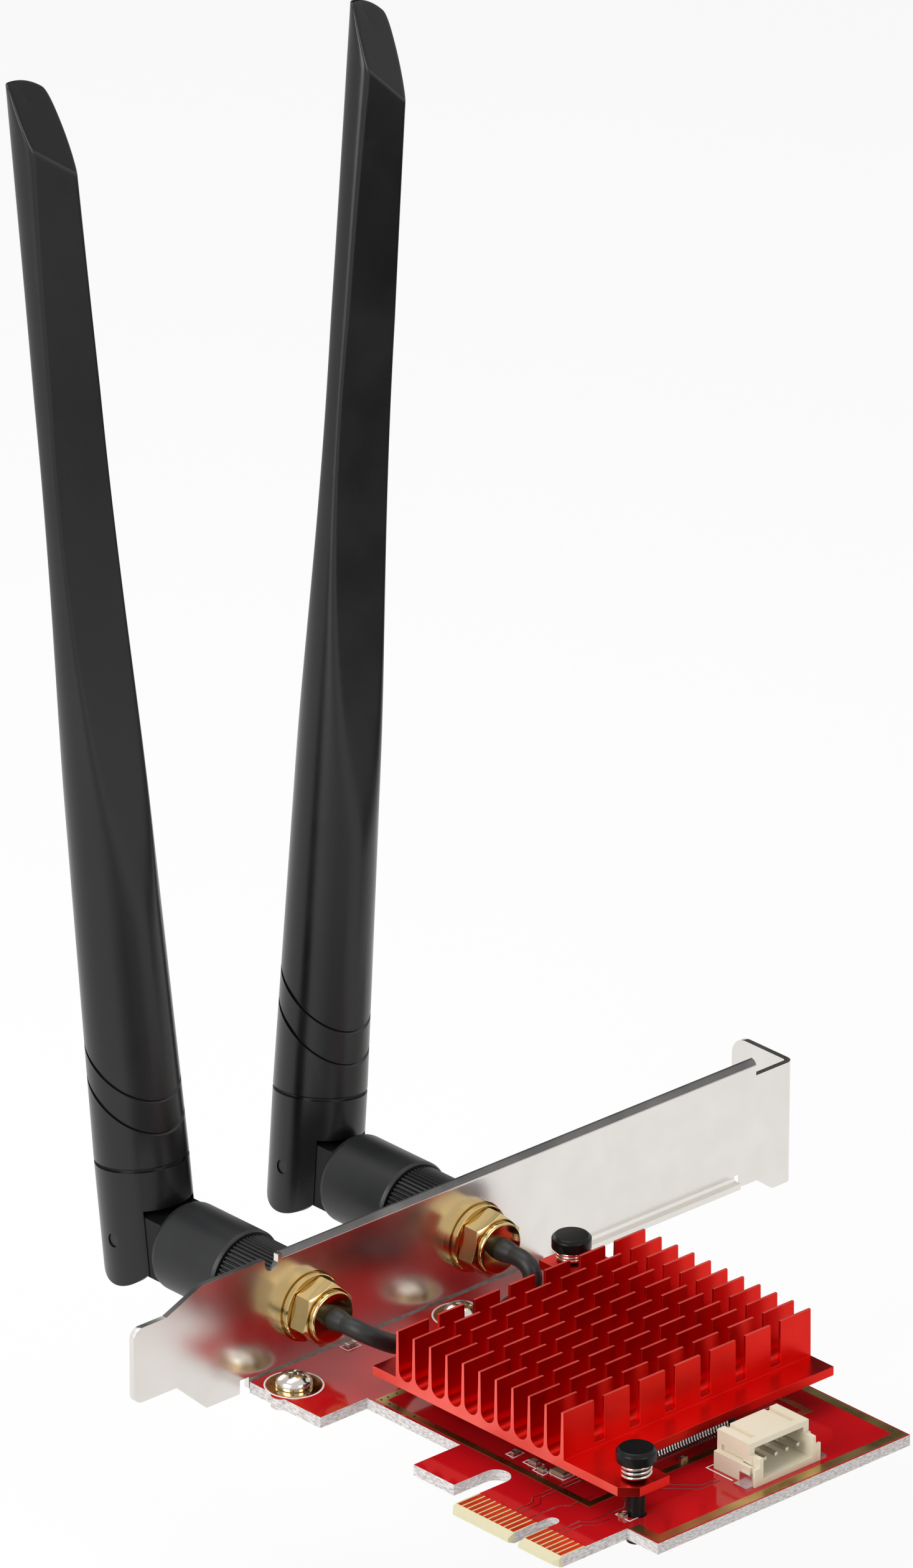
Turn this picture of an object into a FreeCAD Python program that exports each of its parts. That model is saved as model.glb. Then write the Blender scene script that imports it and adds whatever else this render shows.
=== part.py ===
"""Plug-in wireless network card with a finned cooler and two hinged antennas.

The origin is on the contact edge of the board, at the centre of the key notch
and at the board's mid-plane. +X points away from the slot, +Y out through the
bracket towards the antennas, and +Z up from the component side.
"""
import FreeCAD, Part
import math
import os
import re

from FreeCAD import Placement, Rotation, Vector

SIZES = {
    # Circuit board outline
    "board_thick": 1.6,
    "board_reach": 58.7,
    "board_front": 14.0,
    "board_back": 56.2,
    "tongue_front": 8.15,
    "tongue_back": 12.15,
    "tongue_nip": 0.6,
    "tongue_bevel": 0.5,
    "tongue_bevel_run": 1.1,
    "shoulder": 12.75,
    "hook_near": 16.1,
    "hook_far": 23.95,
    "hook_edge": 4.4,
    "hook_slot_end": 12.1,
    "tab_near": 42.2,
    "nub_place": 50.6,
    "nub_half": 1.3,
    "nub_out": 0.8,
    "key_width": 1.9,
    "key_depth": 7.9,
    # Gold contacts on both faces of the tongue
    "contact_wide": 0.7,
    "contact_long": 4.1,
    "contact_inset": 1.1,
    "contact_pitch": 1.0,
    "contact_thick": 0.04,
    "contact_from_key": 1.5,
    "contacts_back": 11,
    "contacts_front": 7,
    # Folded steel bracket
    "bracket_gap": 0.4,
    "sheet": 0.85,
    "fold_inside": 0.4,
    "bracket_low": -0.7,
    "bracket_high": 17.72,
    "neck_low": -2.9,
    "neck_high": -3.7,
    "tip_low": 4.1,
    "tip_high": 15.1,
    "tip_root_low": -8.2,
    "tip_root_high": -10.0,
    "tip_end": -15.8,
    "tip_round": 1.5,
    "notch_place": 8.7,
    "notch_radius": 1.2,
    "notch_low": 15.8,
    "lip_start": 10.6,
    "lip_end": 98.0,
    "lip_fold": 0.1,
    "lip_out": 0.15,
    "relief_wide": 1.6,
    "relief_high": 1.3,
    "relief_place": 4.6,
    "flange_start": 61.0,
    "flange_end": 94.0,
    "flange_top": 0.7,
    "flange_fold": 0.6,
    "flange_deep": 1.4,
    "ear_wide": 5.2,
    "ear_deep": 10.0,
    "seat_end": 105.2,
    "seat_low": -2.9,
    "seat_high": 15.4,
    "seat_deep": 11.4,
    "seat_round": 2.6,
    "seat_slope_low": 101.3,
    "seat_slope_high": 98.4,
    "screw_notch": 4.42,
    "screw_notch_deep": 5.1,
    "screw_notch_out": 6.35,
    # Two screws that hold the board to the bracket ears
    "screw_left": 8.2,
    "screw_right": 38.6,
    "screw_line": 51.6,
    "screw_head": 2.4,
    "screw_crown": 1.75,
    "screw_head_high": 1.9,
    "screw_shank": 1.45,
    "screw_fit": 0.05,
    "screw_tip": 0.4,
    "cross_wide": 0.6,
    "cross_long": 2.9,
    "cross_deep": 1.1,
    "ring_radius": 3.7,
    "ring_thick": 0.04,
    # Extruded cooler
    "cooler_left": 12.6,
    "cooler_long": 45.0,
    "cooler_near": -0.5,
    "cooler_far": 40.85,
    "cooler_under": 4.9,
    "cooler_plate": 1.3,
    "cooler_high": 13.1,
    "fin_first": 4.2,
    "fin_pitch": 3.19,
    "fin_thick": 0.62,
    "fin_count": 11,
    "cross_slot": 1.85,
    "cross_pitch": 6.42,
    "cross_count": 6,
    "cross_floor": 0.6,
    "cooler_ear_wide": 7.4,
    "cooler_ear_deep": 8.0,
    "cooler_ear_nip": 2.1,
    # Spring-loaded push pins
    "pin_inset": 3.9,
    "pin_out": 5.35,
    "pin_shank": 1.25,
    "pin_room": 0.2,
    "pin_cap": 2.75,
    "pin_cap_high": 1.9,
    "pin_cap_edge": 0.45,
    "front_pin_top": 10.6,
    "rear_pin_top": 9.9,
    "barb_radius": 1.9,
    "barb_high": 2.4,
    "barb_tip": 1.0,
    "barb_split": 0.5,
    "barb_split_high": 3.8,
    "spring_radius": 1.9,
    "spring_wire": 0.5,
    "spring_turns": 3,
    # Radio module in its socket, under the cooler
    "module_place": 33.0,
    "module_wide": 22.0,
    "module_long": 30.0,
    "module_near": 9.0,
    "module_thick": 0.8,
    "module_hole": 1.4,
    "module_under": 2.2,
    "can_wide": 19.0,
    "can_long": 18.0,
    "can_near": 14.5,
    "can_high": 1.4,
    "socket_near": 4.1,
    "socket_deep": 7.6,
    "socket_high": 3.2,
    "socket_tongue": 4.9,
    "socket_ledge": 5.4,
    "socket_lead": 0.24,
    "socket_lead_pitch": 0.5,
    "socket_lead_out": 1.1,
    "socket_lead_thick": 0.15,
    "socket_leads": 38,
    "post_radius": 2.4,
    "post_screw": 1.75,
    "post_screw_high": 0.6,
    "post_bore": 0.95,
    "post_fit": 0.03,
    # Coaxial plugs and pigtails
    "plug_spread": 12.0,
    "plug_line": 36.2,
    "plug_base": 1.5,
    "plug_base_high": 0.15,
    "plug_radius": 1.45,
    "plug_high": 1.1,
    "plug_tail": 5.0,
    "plug_tail_radius": 0.6,
    "plug_tail_high": 0.85,
    "cable_radius": 1.3,
    "sleeve_radius": 1.6,
    "sleeve_long": 2.4,
    "cable_lead_out": 1.7,
    "cable_lead_in": 2.6,
    # Four-way side-entry header
    "header_middle": 38.9,
    "header_wide": 12.0,
    "header_upper": 10.8,
    "header_near": -11.2,
    "header_deep": 7.8,
    "header_high": 5.6,
    "header_step": 2.6,
    "header_mouth": 8.9,
    "header_floor": 0.9,
    "header_roof": 0.9,
    "header_back": 1.4,
    "header_groove": 1.0,
    "header_groove_deep": 0.55,
    "header_groove_out": 3.6,
    "header_pitch": 2.0,
    "header_ways": 4,
    "post_square": 0.5,
    "post_reach": 5.2,
    "post_axis": 2.9,
    "post_clear": 0.02,
    "foot_long": 1.2,
    "foot_thick": 0.25,
    "solder_tab_long": 2.4,
    "solder_tab_high": 1.6,
    "solder_tab_wide": 1.1,
    # Threaded coaxial sockets on the bracket
    "left_jack": 14.4,
    "right_jack": 44.9,
    "jack_high": 9.0,
    "thread_radius": 3.175,
    "thread_room": 0.1,
    "washer_radius": 5.05,
    "washer_thick": 1.0,
    "star_radius": 4.65,
    "star_tooth": 0.45,
    "star_thick": 1.0,
    "star_teeth": 16,
    "jack_flange": 4.5,
    "jack_flange_thick": 0.4,
    "jack_hex": 8.0,
    "jack_hex_thick": 2.7,
    "jack_hex_turn": -14.0,
    "jack_rim": 3.7,
    "jack_rim_long": 0.9,
    "jack_bore": 2.1,
    "jack_recess": 2.4,
    "jack_out": 7.2,
    "core_fit": 0.03,
    "contact_radius": 1.0,
    "nut_hex": 8.0,
    "nut_thick": 2.2,
    # Antenna: coupling collar and swivel barrel
    "collar_off": 0.35,
    "collar_radius": 5.85,
    "collar_long": 7.6,
    "knurl_deep": 0.3,
    "knurl_teeth": 60,
    "collar_fit": 0.08,
    "collar_seat": 1.6,
    "barrel_gap": 0.25,
    "barrel_radius": 6.35,
    "barrel_long": 13.0,
    "barrel_bevel": 0.5,
    "barrel_round": 1.5,
    "spigot_radius": 4.0,
    "spigot_gap": 0.2,
    "plug_pin": 0.6,
    "plug_pin_in": 2.2,
    "plug_pin_back": 3.5,
    "plug_pin_fit": 0.05,
    # Antenna: hinge
    "pivot_out": 6.8,
    "ear_radius": 6.45,
    "slot_wide": 9.0,
    "slot_side_room": 0.1,
    "slot_roof": 4.6,
    "tongue_radius": 4.3,
    "hinge_pin": 0.95,
    "hinge_fit": 0.05,
    "hinge_pin_sink": 0.25,
    # Antenna: blade, heights measured from the pivot
    "neck_high_up": 10.1,
    "neck_groove": 0.45,
    "neck_radius": 6.0,
    "sleeve_foot_radius": 6.45,
    "sleeve_top_radius": 4.1,
    "blade_top": 156.6,
    "tip_edge": 0.6,
    "tip_room_wide": 50.0,
    "tip_room_high": 25.0,
    "tip_slope_across": 0.72,
    "tip_slope_along": 2.4,
    "flat_start": 47.0,
    "flat_start_half": 6.3,
    "flat_mid": 72.0,
    "flat_mid_half": 3.1,
    "flat_thin": 118.0,
    "flat_thin_half": 1.65,
    "flat_upper": 142.0,
    "flat_upper_half": 1.9,
    "flat_end": 168.0,
    "flat_end_half": 2.6,
    "band_low": 19.8,
    "band_high": 24.4,
    "band_slope": 0.72,
    "band_wide": 0.45,
    "band_deep": 0.4,
    "band_room": 26.0,
    "core_plug_radius": 4.6,
    "core_plug_long": 7.5,
    "core_plug_fit": 0.05,
    "radiator_tube": 2.9,
    "radiator_tube_long": 26.0,
    "radiator_rod": 0.9,
    "radiator_long": 118.0,
    "radiator_fit": 0.1,
    # Rest pose of the antennas
    "left_fold": 7.4,
    "right_fold": 4.4,
    "left_swivel": 0.0,
    "right_swivel": 8.2,
    # Small components on the board
    "chip_thick": 0.55,
    "chip_cap": 0.3,
}

SIDES = ("left", "right")
SIGN = {"left": -1, "right": 1}

# Middle points of the small chips on the board, each with its length along X and along Y
CHIPS = (
    (21.4, 54.9, 1.6, 0.8),
    (16.4, 17.2, 1.2, 0.6),
    (16.3, 13.5, 0.8, 1.6),
    (15.6, 11.2, 0.7, 1.2),
    (16.9, 9.0, 1.4, 2.6),
    (14.5, -5.5, 0.6, 1.2),
    (31.4, 0.9, 1.2, 0.6),
    (43.4, 3.3, 1.2, 0.6),
)

# Bends of each pigtail, between its straight ends at the coaxial socket and at its plug
ROUTES = {
    "left": (
        (15.2, 44.9, 8.4),
        (17.4, 44.0, 7.0),
        (20.0, 44.4, 5.4),
        (22.6, 45.0, 4.3),
        (25.2, 45.0, 3.85),
    ),
    "right": (
        (44.9, 45.0, 8.4),
        (44.9, 44.3, 6.9),
        (44.6, 44.2, 5.2),
        (43.2, 44.6, 4.1),
        (41.2, 45.0, 3.85),
    ),
}

# Share of the shorter run beside a bend of a pigtail that the bend takes up
BEND_SHARE = 0.45

# Places around one tooth of a knurl or star, as shares of its pitch, and whether they are on its top
TOOTH = ((0.0, False), (0.25, True), (0.6, True), (0.85, False))

doc = FreeCAD.newDocument("network_card")
sheet = doc.addObject("Spreadsheet::Sheet", "Sizes")
for row, (alias, number) in enumerate(SIZES.items(), 1):
    sheet.set(f"A{row}", alias)
    sheet.set(f"B{row}", str(number))
    sheet.setAlias(f"B{row}", alias)
doc.recompute()

pieces = {}


def size(alias):
    return float(sheet.get(alias))


def formula(text):
    """Names in the text that are cells of the sheet become references to it."""
    def reference(match):
        name = match.group(0)
        return f"Sizes.{name}" if name in SIZES else name
    return re.sub(r"[A-Za-z_]\w*", reference, str(text))


def bind(thing, **formulas):
    for name, text in formulas.items():
        thing.setExpression(name, formula(text))


def place(thing, x=0, y=0, z=0, rotation=None):
    if rotation:
        thing.Placement = Placement(Vector(), rotation)
    thing.setExpression("Placement.Base.x", formula(x))
    thing.setExpression("Placement.Base.y", formula(y))
    thing.setExpression("Placement.Base.z", formula(z))
    return thing


TURN = {
    "X": Rotation(Vector(0, 1, 0), 90),
    "Y": Rotation(Vector(1, 0, 0), -90),
    "Z": None,
}


def box(name, spans, corner):
    thing = doc.addObject("Part::Box", name)
    bind(thing, Length=spans[0], Width=spans[1], Height=spans[2])
    return place(thing, *corner)


def rod(name, radius, length, foot, axis="Z"):
    thing = doc.addObject("Part::Cylinder", name)
    bind(thing, Radius=radius, Height=length)
    return place(thing, *foot, TURN[axis])


def cone(name, low_radius, high_radius, length, foot, axis="Z"):
    thing = doc.addObject("Part::Cone", name)
    bind(thing, Radius1=low_radius, Radius2=high_radius, Height=length)
    return place(thing, *foot, TURN[axis])


def hexagon(name, across, length, foot, axis="Y"):
    thing = doc.addObject("Part::Prism", name)
    thing.Polygon = 6
    bind(thing, Circumradius=f"({across}) / sqrt(3)", Height=length)
    return place(thing, *foot, TURN[axis])


def fuse(name, *things):
    thing = doc.addObject("Part::MultiFuse", name)
    thing.Shapes = list(things)
    return thing


def cut(name, base, *tools):
    thing = doc.addObject("Part::Cut", name)
    thing.Base = base
    thing.Tool = tools[0] if len(tools) == 1 else fuse(f"{name}_cutters", *tools)
    return thing


def common(name, *things):
    thing = doc.addObject("Part::MultiCommon", name)
    thing.Shapes = list(things)
    return thing


def group(name, things):
    thing = doc.addObject("Part::Compound", name)
    thing.Links = list(things)
    return thing


def keep(label, thing):
    thing.Label = label
    pieces[label] = thing
    return thing


def bow(centre, radius, start, end):
    """A step of an outline: the middle and end of an arc given by its angles in degrees."""
    points = []
    for angle in ((start + end) / 2, end):
        turn = math.radians(angle)
        points.append((centre[0] + radius * math.cos(turn), centre[1] + radius * math.sin(turn)))
    return tuple(points)


def draw(sketch, outline):
    """Lines to points, and arcs through the middle to the end of a pair of points."""
    here = outline[0]
    for step in list(outline[1:]) + [outline[0]]:
        if isinstance(step[0], tuple):
            middle, end = step
            sketch.addGeometry(Part.Arc(Vector(*here, 0), Vector(*middle, 0), Vector(*end, 0)))
        else:
            end = step
            if math.dist(here, end) > 1e-6:
                sketch.addGeometry(Part.LineSegment(Vector(*here, 0), Vector(*end, 0)))
        here = end


def pad(name, plane, offset, depth, outline, backwards=False):
    """A body padded from an outline on an origin plane moved along its normal."""
    body = doc.addObject("PartDesign::Body", name)
    sketch = body.newObject("Sketcher::SketchObject", f"{name}_outline")
    support = next(item for item in body.Origin.OriginFeatures if item.Role == plane)
    sketch.AttachmentSupport = (support, [""])
    sketch.MapMode = "FlatFace"
    sketch.setExpression("AttachmentOffset.Base.z", formula(offset))
    draw(sketch, outline)
    feature = body.newObject("PartDesign::Pad", f"{name}_pad")
    feature.Profile = sketch
    feature.setExpression("Length", formula(depth))
    feature.Reversed = backwards
    return body


def wavy(radius, tooth, count):
    """A closed outline of straight teeth around a circle."""
    corners = []
    for step in range(count):
        for share, on_top in TOOTH:
            reach = radius if on_top else radius - tooth
            angle = 2 * math.pi * (step + share) / count
            corners.append((reach * math.cos(angle), reach * math.sin(angle)))
    return corners


def tube_along(points, radius):
    """A round tube along straight runs joined by tangent arcs, and its arc radii."""
    runs = [(b - a).Length for a, b in zip(points, points[1:])]
    edges = []
    radii = []
    here = points[0]
    for index in range(1, len(points) - 1):
        before = (points[index - 1] - points[index]).normalize()
        after = (points[index + 1] - points[index]).normalize()
        reach = BEND_SHARE * min(runs[index - 1], runs[index])
        start = points[index] + before * reach
        end = points[index] + after * reach
        half_turn = (math.pi - before.getAngle(after)) / 2
        bend = reach / math.tan(half_turn)
        inward = (before + after).normalize()
        middle = points[index] + inward * (bend / math.cos(half_turn) - bend)
        edges.append(Part.LineSegment(here, start).toShape())
        edges.append(Part.Arc(start, middle, end).toShape())
        radii.append(round(bend, 1))
        here = end
    edges.append(Part.LineSegment(here, points[-1]).toShape())
    path = Part.Wire(edges)
    ring = Part.Wire(Part.Circle(points[0], points[1] - points[0], radius).toShape())
    shell = path.makePipeShell([ring], True, False)
    section = math.pi * radius ** 2
    print("cable volume over section times length:", round(shell.Volume / (section * path.Length), 4), radii)
    return shell


def make_board():
    reach = size("board_reach")
    front = -size("board_front")
    back = size("board_back")
    near = -size("tongue_front")
    far = size("tongue_back")
    nip = size("tongue_nip")
    shoulder = size("shoulder")
    hook = size("hook_edge")
    hook_near = size("hook_near")
    hook_far = size("hook_far")
    tab_near = size("tab_near")
    nub = size("nub_place")
    nub_half = size("nub_half")
    key = size("key_width") / 2
    key_root = size("key_depth") - key
    slot = (hook_near - far) / 2
    slot_root = size("hook_slot_end") - slot
    outline = [
        (0, near + nip),
        (0, -key),
        (key_root, -key),
        bow((key_root, 0), key, -90, 90),
        (0, key),
        (0, far - nip),
        (nip, far),
        (slot_root, far),
        bow((slot_root, far + slot), slot, -90, 90),
        (hook, hook_near),
        (hook, hook_far),
        (shoulder, hook_far),
        (shoulder, tab_near),
        (hook, tab_near),
        (hook, nub - nub_half),
        ((hook - size("nub_out"), nub), (hook, nub + nub_half)),
        (hook, back),
        (reach, back),
        (reach, front),
        (shoulder, front),
        (shoulder, near),
        (nip, near),
    ]
    blank = pad("board_blank", "XY_Plane", "-board_thick / 2", "board_thick", outline)
    half = size("board_thick") / 2
    bevel = size("tongue_bevel")
    run = size("tongue_bevel_run")
    wedges = []
    for name, side in (("upper", 1), ("lower", -1)):
        corners = [
            (0, side * (half - bevel)),
            (run, side * half),
            (0, side * half),
        ]
        wedges.append(pad(
            f"{name}_bevel", "XZ_Plane", "tongue_front", "tongue_front + tongue_back", corners, True,
        ))
    holes = []
    for places, radius in (
        (screw_places(), "screw_shank + screw_fit"),
        (pin_places(), "pin_shank + pin_room"),
    ):
        for name, x, y in places:
            holes.append(rod(f"{name}_board_hole", radius, "board_thick", (x, y, "-board_thick / 2")))
    keep("circuit_board", cut("circuit_board", blank, *wedges, *holes))


def make_contacts():
    strips = []
    for side, sign in (("back", 1), ("front", -1)):
        for index in range(int(size(f"contacts_{side}"))):
            middle = f"{sign} * (contact_from_key + {index} * contact_pitch)"
            for face, level in (("upper", "board_thick / 2"), ("lower", "-board_thick / 2 - contact_thick")):
                strips.append(box(
                    f"{face}_{side}_contact_{index}",
                    ("contact_long", "contact_wide", "contact_thick"),
                    ("contact_inset", f"{middle} - contact_wide / 2", level),
                ))
    keep("edge_contacts", group("edge_contacts", strips))


def screw_places():
    return (("left_screw", "screw_left", "screw_line"), ("right_screw", "screw_right", "screw_line"))


def pin_places():
    """The front pin is in the ear by the cooler's near left corner, and the rear one is opposite."""
    return (
        ("front_pin", "cooler_left + pin_inset", "cooler_near - pin_out"),
        ("rear_pin", "cooler_left + cooler_long - pin_inset", "cooler_far + pin_out"),
    )


BRACKET_FACE = "(board_back + bracket_gap)"


def inward_fold(top, fold, deep):
    """The section of a flange folded inwards from the foot of the bracket."""
    inner = size("board_back") + size("bracket_gap")
    sheet_thick = size("sheet")
    root = top + fold
    return [
        (inner + sheet_thick, root),
        (inner, root),
        bow((inner - fold, root), fold, 0, -90),
        (inner - deep, top),
        (inner - deep, top - sheet_thick),
        (inner - fold, top - sheet_thick),
        bow((inner - fold, root), fold + sheet_thick, -90, 0),
    ]


def make_bracket():
    inner = size("board_back") + size("bracket_gap")
    sheet_thick = size("sheet")
    fold = size("fold_inside")
    low = size("bracket_low")
    high = size("bracket_high")
    tip_end = size("tip_end")
    tip_round = size("tip_round")
    tip_low = size("tip_low")
    tip_high = size("tip_high")
    notch = size("notch_place")
    notch_radius = size("notch_radius")
    notch_root = size("notch_low") + notch_radius
    lip_fold = size("lip_fold")
    lip_root = high - sheet_thick - lip_fold
    ear_root = fold - size("board_thick") / 2
    flange_root = size("flange_top") + size("flange_fold")
    relief = size("relief_wide")
    relief_high = size("relief_high")
    relief_place = size("relief_place")
    flange_start = size("flange_start")
    flange_end = size("flange_end")
    seat_root = size("seat_end") - sheet_thick - fold
    seat_low = size("seat_low")
    seat_high = size("seat_high")
    outline = [
        (size("tip_root_low"), tip_low),
        (tip_end + tip_round, tip_low),
        bow((tip_end + tip_round, tip_low + tip_round), tip_round, -90, -180),
        (tip_end, tip_high - tip_round),
        bow((tip_end + tip_round, tip_high - tip_round), tip_round, 180, 90),
        (size("tip_root_high"), tip_high),
        (size("neck_high"), high),
        (notch - notch_radius, high),
        (notch - notch_radius, notch_root),
        bow((notch, notch_root), notch_radius, 180, 360),
        (notch + notch_radius, high),
        (size("lip_start"), high),
        (size("lip_start"), lip_root),
        (size("lip_end"), lip_root),
        (size("lip_end"), seat_high),
        (seat_root, seat_high),
        (seat_root, seat_low),
        (size("seat_slope_low"), seat_low),
        (size("seat_slope_high"), low),
        (flange_end + relief, low),
        (flange_end + relief, relief_high),
        (flange_end, relief_high),
        (flange_end, flange_root),
        (flange_start, flange_root),
        (flange_start, ear_root),
        (relief_place, ear_root),
        (relief_place, relief_high),
        (relief_place - relief, relief_high),
        (relief_place - relief, low),
        (size("neck_low"), low),
    ]
    wall = pad("bracket_wall", "XZ_Plane", f"-{BRACKET_FACE}", "sheet", outline, True)
    outside = inner + sheet_thick
    lip = [
        (inner, lip_root),
        bow((outside + lip_fold, lip_root), lip_fold + sheet_thick, 180, 90),
        (outside + size("lip_out"), high),
        (outside + size("lip_out"), high - sheet_thick),
        (outside + lip_fold, high - sheet_thick),
        bow((outside + lip_fold, lip_root), lip_fold, 90, 180),
    ]
    upper_lip = pad("bracket_lip", "YZ_Plane", "lip_start", "lip_end - lip_start", lip)
    lower_flange = pad(
        "bracket_flange", "YZ_Plane", "flange_start", "flange_end - flange_start",
        inward_fold(size("flange_top"), size("flange_fold"), size("flange_deep")),
    )
    seat = [
        (seat_root, inner),
        bow((seat_root, outside + fold), fold + sheet_thick, -90, 0),
        (size("seat_end"), inner + size("seat_deep")),
        (size("seat_end") - sheet_thick, inner + size("seat_deep")),
        (size("seat_end") - sheet_thick, outside + fold),
        bow((seat_root, outside + fold), fold, 0, -90),
    ]
    seat_tab = pad("bracket_seat", "XY_Plane", "seat_low", "seat_high - seat_low", seat)
    ears = []
    trims = []
    for name, x, y in screw_places():
        profile = inward_fold(-size("board_thick") / 2, fold, size("ear_deep"))
        ears.append(pad(f"{name}_ear", "YZ_Plane", f"{x} - ear_wide / 2", "ear_wide", profile))
        under = "-board_thick / 2 - sheet"
        trims.append(rod(f"{name}_ear_hole", "screw_shank + screw_fit", "sheet", (x, y, under)))
    corner = size("seat_round")
    edge = inner + size("seat_deep")
    for name, level, side in (("upper", seat_high, -1), ("lower", seat_low, 1)):
        trims.append(pad(f"{name}_seat_trim", "YZ_Plane", "seat_end - 2 * sheet", "3 * sheet", [
            (edge + corner, level - side * corner),
            (edge + corner, level + side * corner),
            (edge, level + side * corner),
            bow((edge - corner, level + side * corner), corner, 0, -side * 90),
            (edge - corner, level - side * corner),
        ]))
    notch_half = size("screw_notch") / 2
    notch_middle = outside + size("screw_notch_out")
    notch_top = seat_low + size("screw_notch_deep")
    trims.append(pad("seat_screw_notch", "YZ_Plane", "seat_end - 2 * sheet", "3 * sheet", [
        (notch_middle - notch_half, seat_low - notch_half),
        (notch_middle + notch_half, seat_low - notch_half),
        (notch_middle + notch_half, notch_top - notch_half),
        bow((notch_middle, notch_top - notch_half), notch_half, 0, 180),
    ]))
    for side in SIDES:
        trims.append(rod(
            f"{side}_bracket_hole", "thread_radius + thread_room", "sheet",
            (f"{side}_jack", BRACKET_FACE, "jack_high"), "Y",
        ))
    blank = fuse("bracket_blank", wall, upper_lip, lower_flange, seat_tab, *ears)
    keep("bracket", cut("bracket", blank, *trims))


def make_screws():
    screws = []
    rings = []
    for name, x, y in screw_places():
        foot = "-board_thick / 2 - sheet - screw_tip"
        seat = "board_thick / 2 + ring_thick"
        shank = rod(f"{name}_shank", "screw_shank", f"{seat} - ({foot})", (x, y, foot))
        lower = rod(f"{name}_head", "screw_head", "screw_head_high / 2", (x, y, seat))
        upper = cone(
            f"{name}_crown", "screw_head", "screw_crown", "screw_head_high / 2",
            (x, y, f"{seat} + screw_head_high / 2"),
        )
        level = f"{seat} + screw_head_high - cross_deep"
        along = box(f"{name}_cross_along", ("cross_long", "cross_wide", "cross_deep"),
                    (f"{x} - cross_long / 2", f"{y} - cross_wide / 2", level))
        across = box(f"{name}_cross_across", ("cross_wide", "cross_long", "cross_deep"),
                     (f"{x} - cross_wide / 2", f"{y} - cross_long / 2", level))
        screws.append(cut(name, fuse(f"{name}_blank", shank, lower, upper), along, across))
        disc = rod(f"{name}_ring", "ring_radius", "ring_thick", (x, y, "board_thick / 2"))
        bore = rod(f"{name}_ring_hole", "screw_shank + screw_fit", "ring_thick", (x, y, "board_thick / 2"))
        rings.append(cut(f"{name}_pad", disc, bore))
    keep("board_screws", group("board_screws", screws))
    keep("screw_pads", group("screw_pads", rings))


def make_cooler():
    left = size("cooler_left")
    right = left + size("cooler_long")
    near = size("cooler_near")
    far = size("cooler_far")
    ear = size("cooler_ear_wide")
    deep = size("cooler_ear_deep")
    nip = size("cooler_ear_nip")
    plate = [
        (left, far),
        (left, near - deep + nip),
        (left + nip, near - deep),
        (left + ear, near - deep),
        (left + ear, near),
        (right, near),
        (right, far + deep - nip),
        (right - nip, far + deep),
        (right - ear, far + deep),
        (right - ear, far),
    ]
    base = pad("cooler_base", "XY_Plane", "cooler_under", "cooler_plate", plate)
    floor = size("cooler_under") + size("cooler_plate")
    top = size("cooler_high")
    half = size("fin_thick") / 2
    pitch = size("fin_pitch")
    trough = pitch / 2 - half
    count = int(size("fin_count"))
    comb = [(size("fin_first") - half, floor)]
    for index in range(count):
        middle = size("fin_first") + index * pitch
        comb.append((middle - half, top))
        comb.append((middle + half, top))
        if index < count - 1:
            comb.append((middle + half, floor + trough))
            comb.append(bow((middle + pitch / 2, floor + trough), trough, 180, 360))
        else:
            comb.append((middle + half, floor))
    fins = pad("cooler_fins", "YZ_Plane", "cooler_left", "cooler_long", comb)
    slots = []
    for index in range(int(size("cross_count"))):
        middle = f"cooler_left + cooler_long / 2 + ({index} - (cross_count - 1) / 2) * cross_pitch"
        slots.append(box(
            f"cooler_cross_slot_{index}",
            ("cross_slot", "fin_count * fin_pitch", "cooler_high"),
            (f"{middle} - cross_slot / 2", "fin_first - fin_pitch / 2",
             "cooler_under + cooler_plate + cross_floor"),
        ))
    holes = []
    for name, x, y in pin_places():
        foot = (x, y, "cooler_under")
        holes.append(rod(f"{name}_cooler_hole", "pin_shank + pin_room", "cooler_plate", foot))
    comb_cut = cut("cooler_comb", fins, *slots)
    keep("heatsink", cut("heatsink", fuse("cooler_blank", base, comb_cut), *holes))


def make_push_pins():
    wire = size("spring_wire") / 2
    for name, x, y in pin_places():
        foot = "-board_thick / 2 - barb_high"
        top = f"{name}_top"
        cap_under = f"{top} - pin_cap_high"
        shank = rod(f"{name}_shank", "pin_shank", f"{cap_under} - ({foot})", (x, y, foot))
        cap = rod(f"{name}_cap", "pin_cap", "pin_cap_high - pin_cap_edge", (x, y, cap_under))
        crown = cone(f"{name}_crown", "pin_cap", "pin_cap - pin_cap_edge", "pin_cap_edge",
                     (x, y, f"{top} - pin_cap_edge"))
        barb = cone(f"{name}_barb", "barb_tip", "barb_radius", "barb_high", (x, y, foot))
        split = box(f"{name}_split", ("barb_split", "2 * barb_radius", "barb_split_high"),
                    (f"{x} - barb_split / 2", f"{y} - barb_radius", foot))
        blank = fuse(f"{name}_blank", shank, cap, crown, barb)
        body = name.replace("_pin", "_push_pin")
        keep(body, cut(body, blank, split))

        floor = size("cooler_under") + size("cooler_plate")
        rise = size(top) - size("pin_cap_high") - floor - 2 * wire
        radius = size("spring_radius")
        helix = Part.makeHelix(rise / size("spring_turns"), rise, radius)
        start = Vector(radius, 0, 0)
        ring = Part.Wire(Part.Circle(start, Vector(0, 1, 0), wire).toShape())
        spring = doc.addObject("Part::Feature", f"{name}_spring")
        spring.Shape = Part.Wire(helix.Edges).makePipeShell([ring], True, True)
        place(spring, x, y, "cooler_under + cooler_plate + spring_wire / 2")
        keep(f"{name}_spring", spring)


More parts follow.
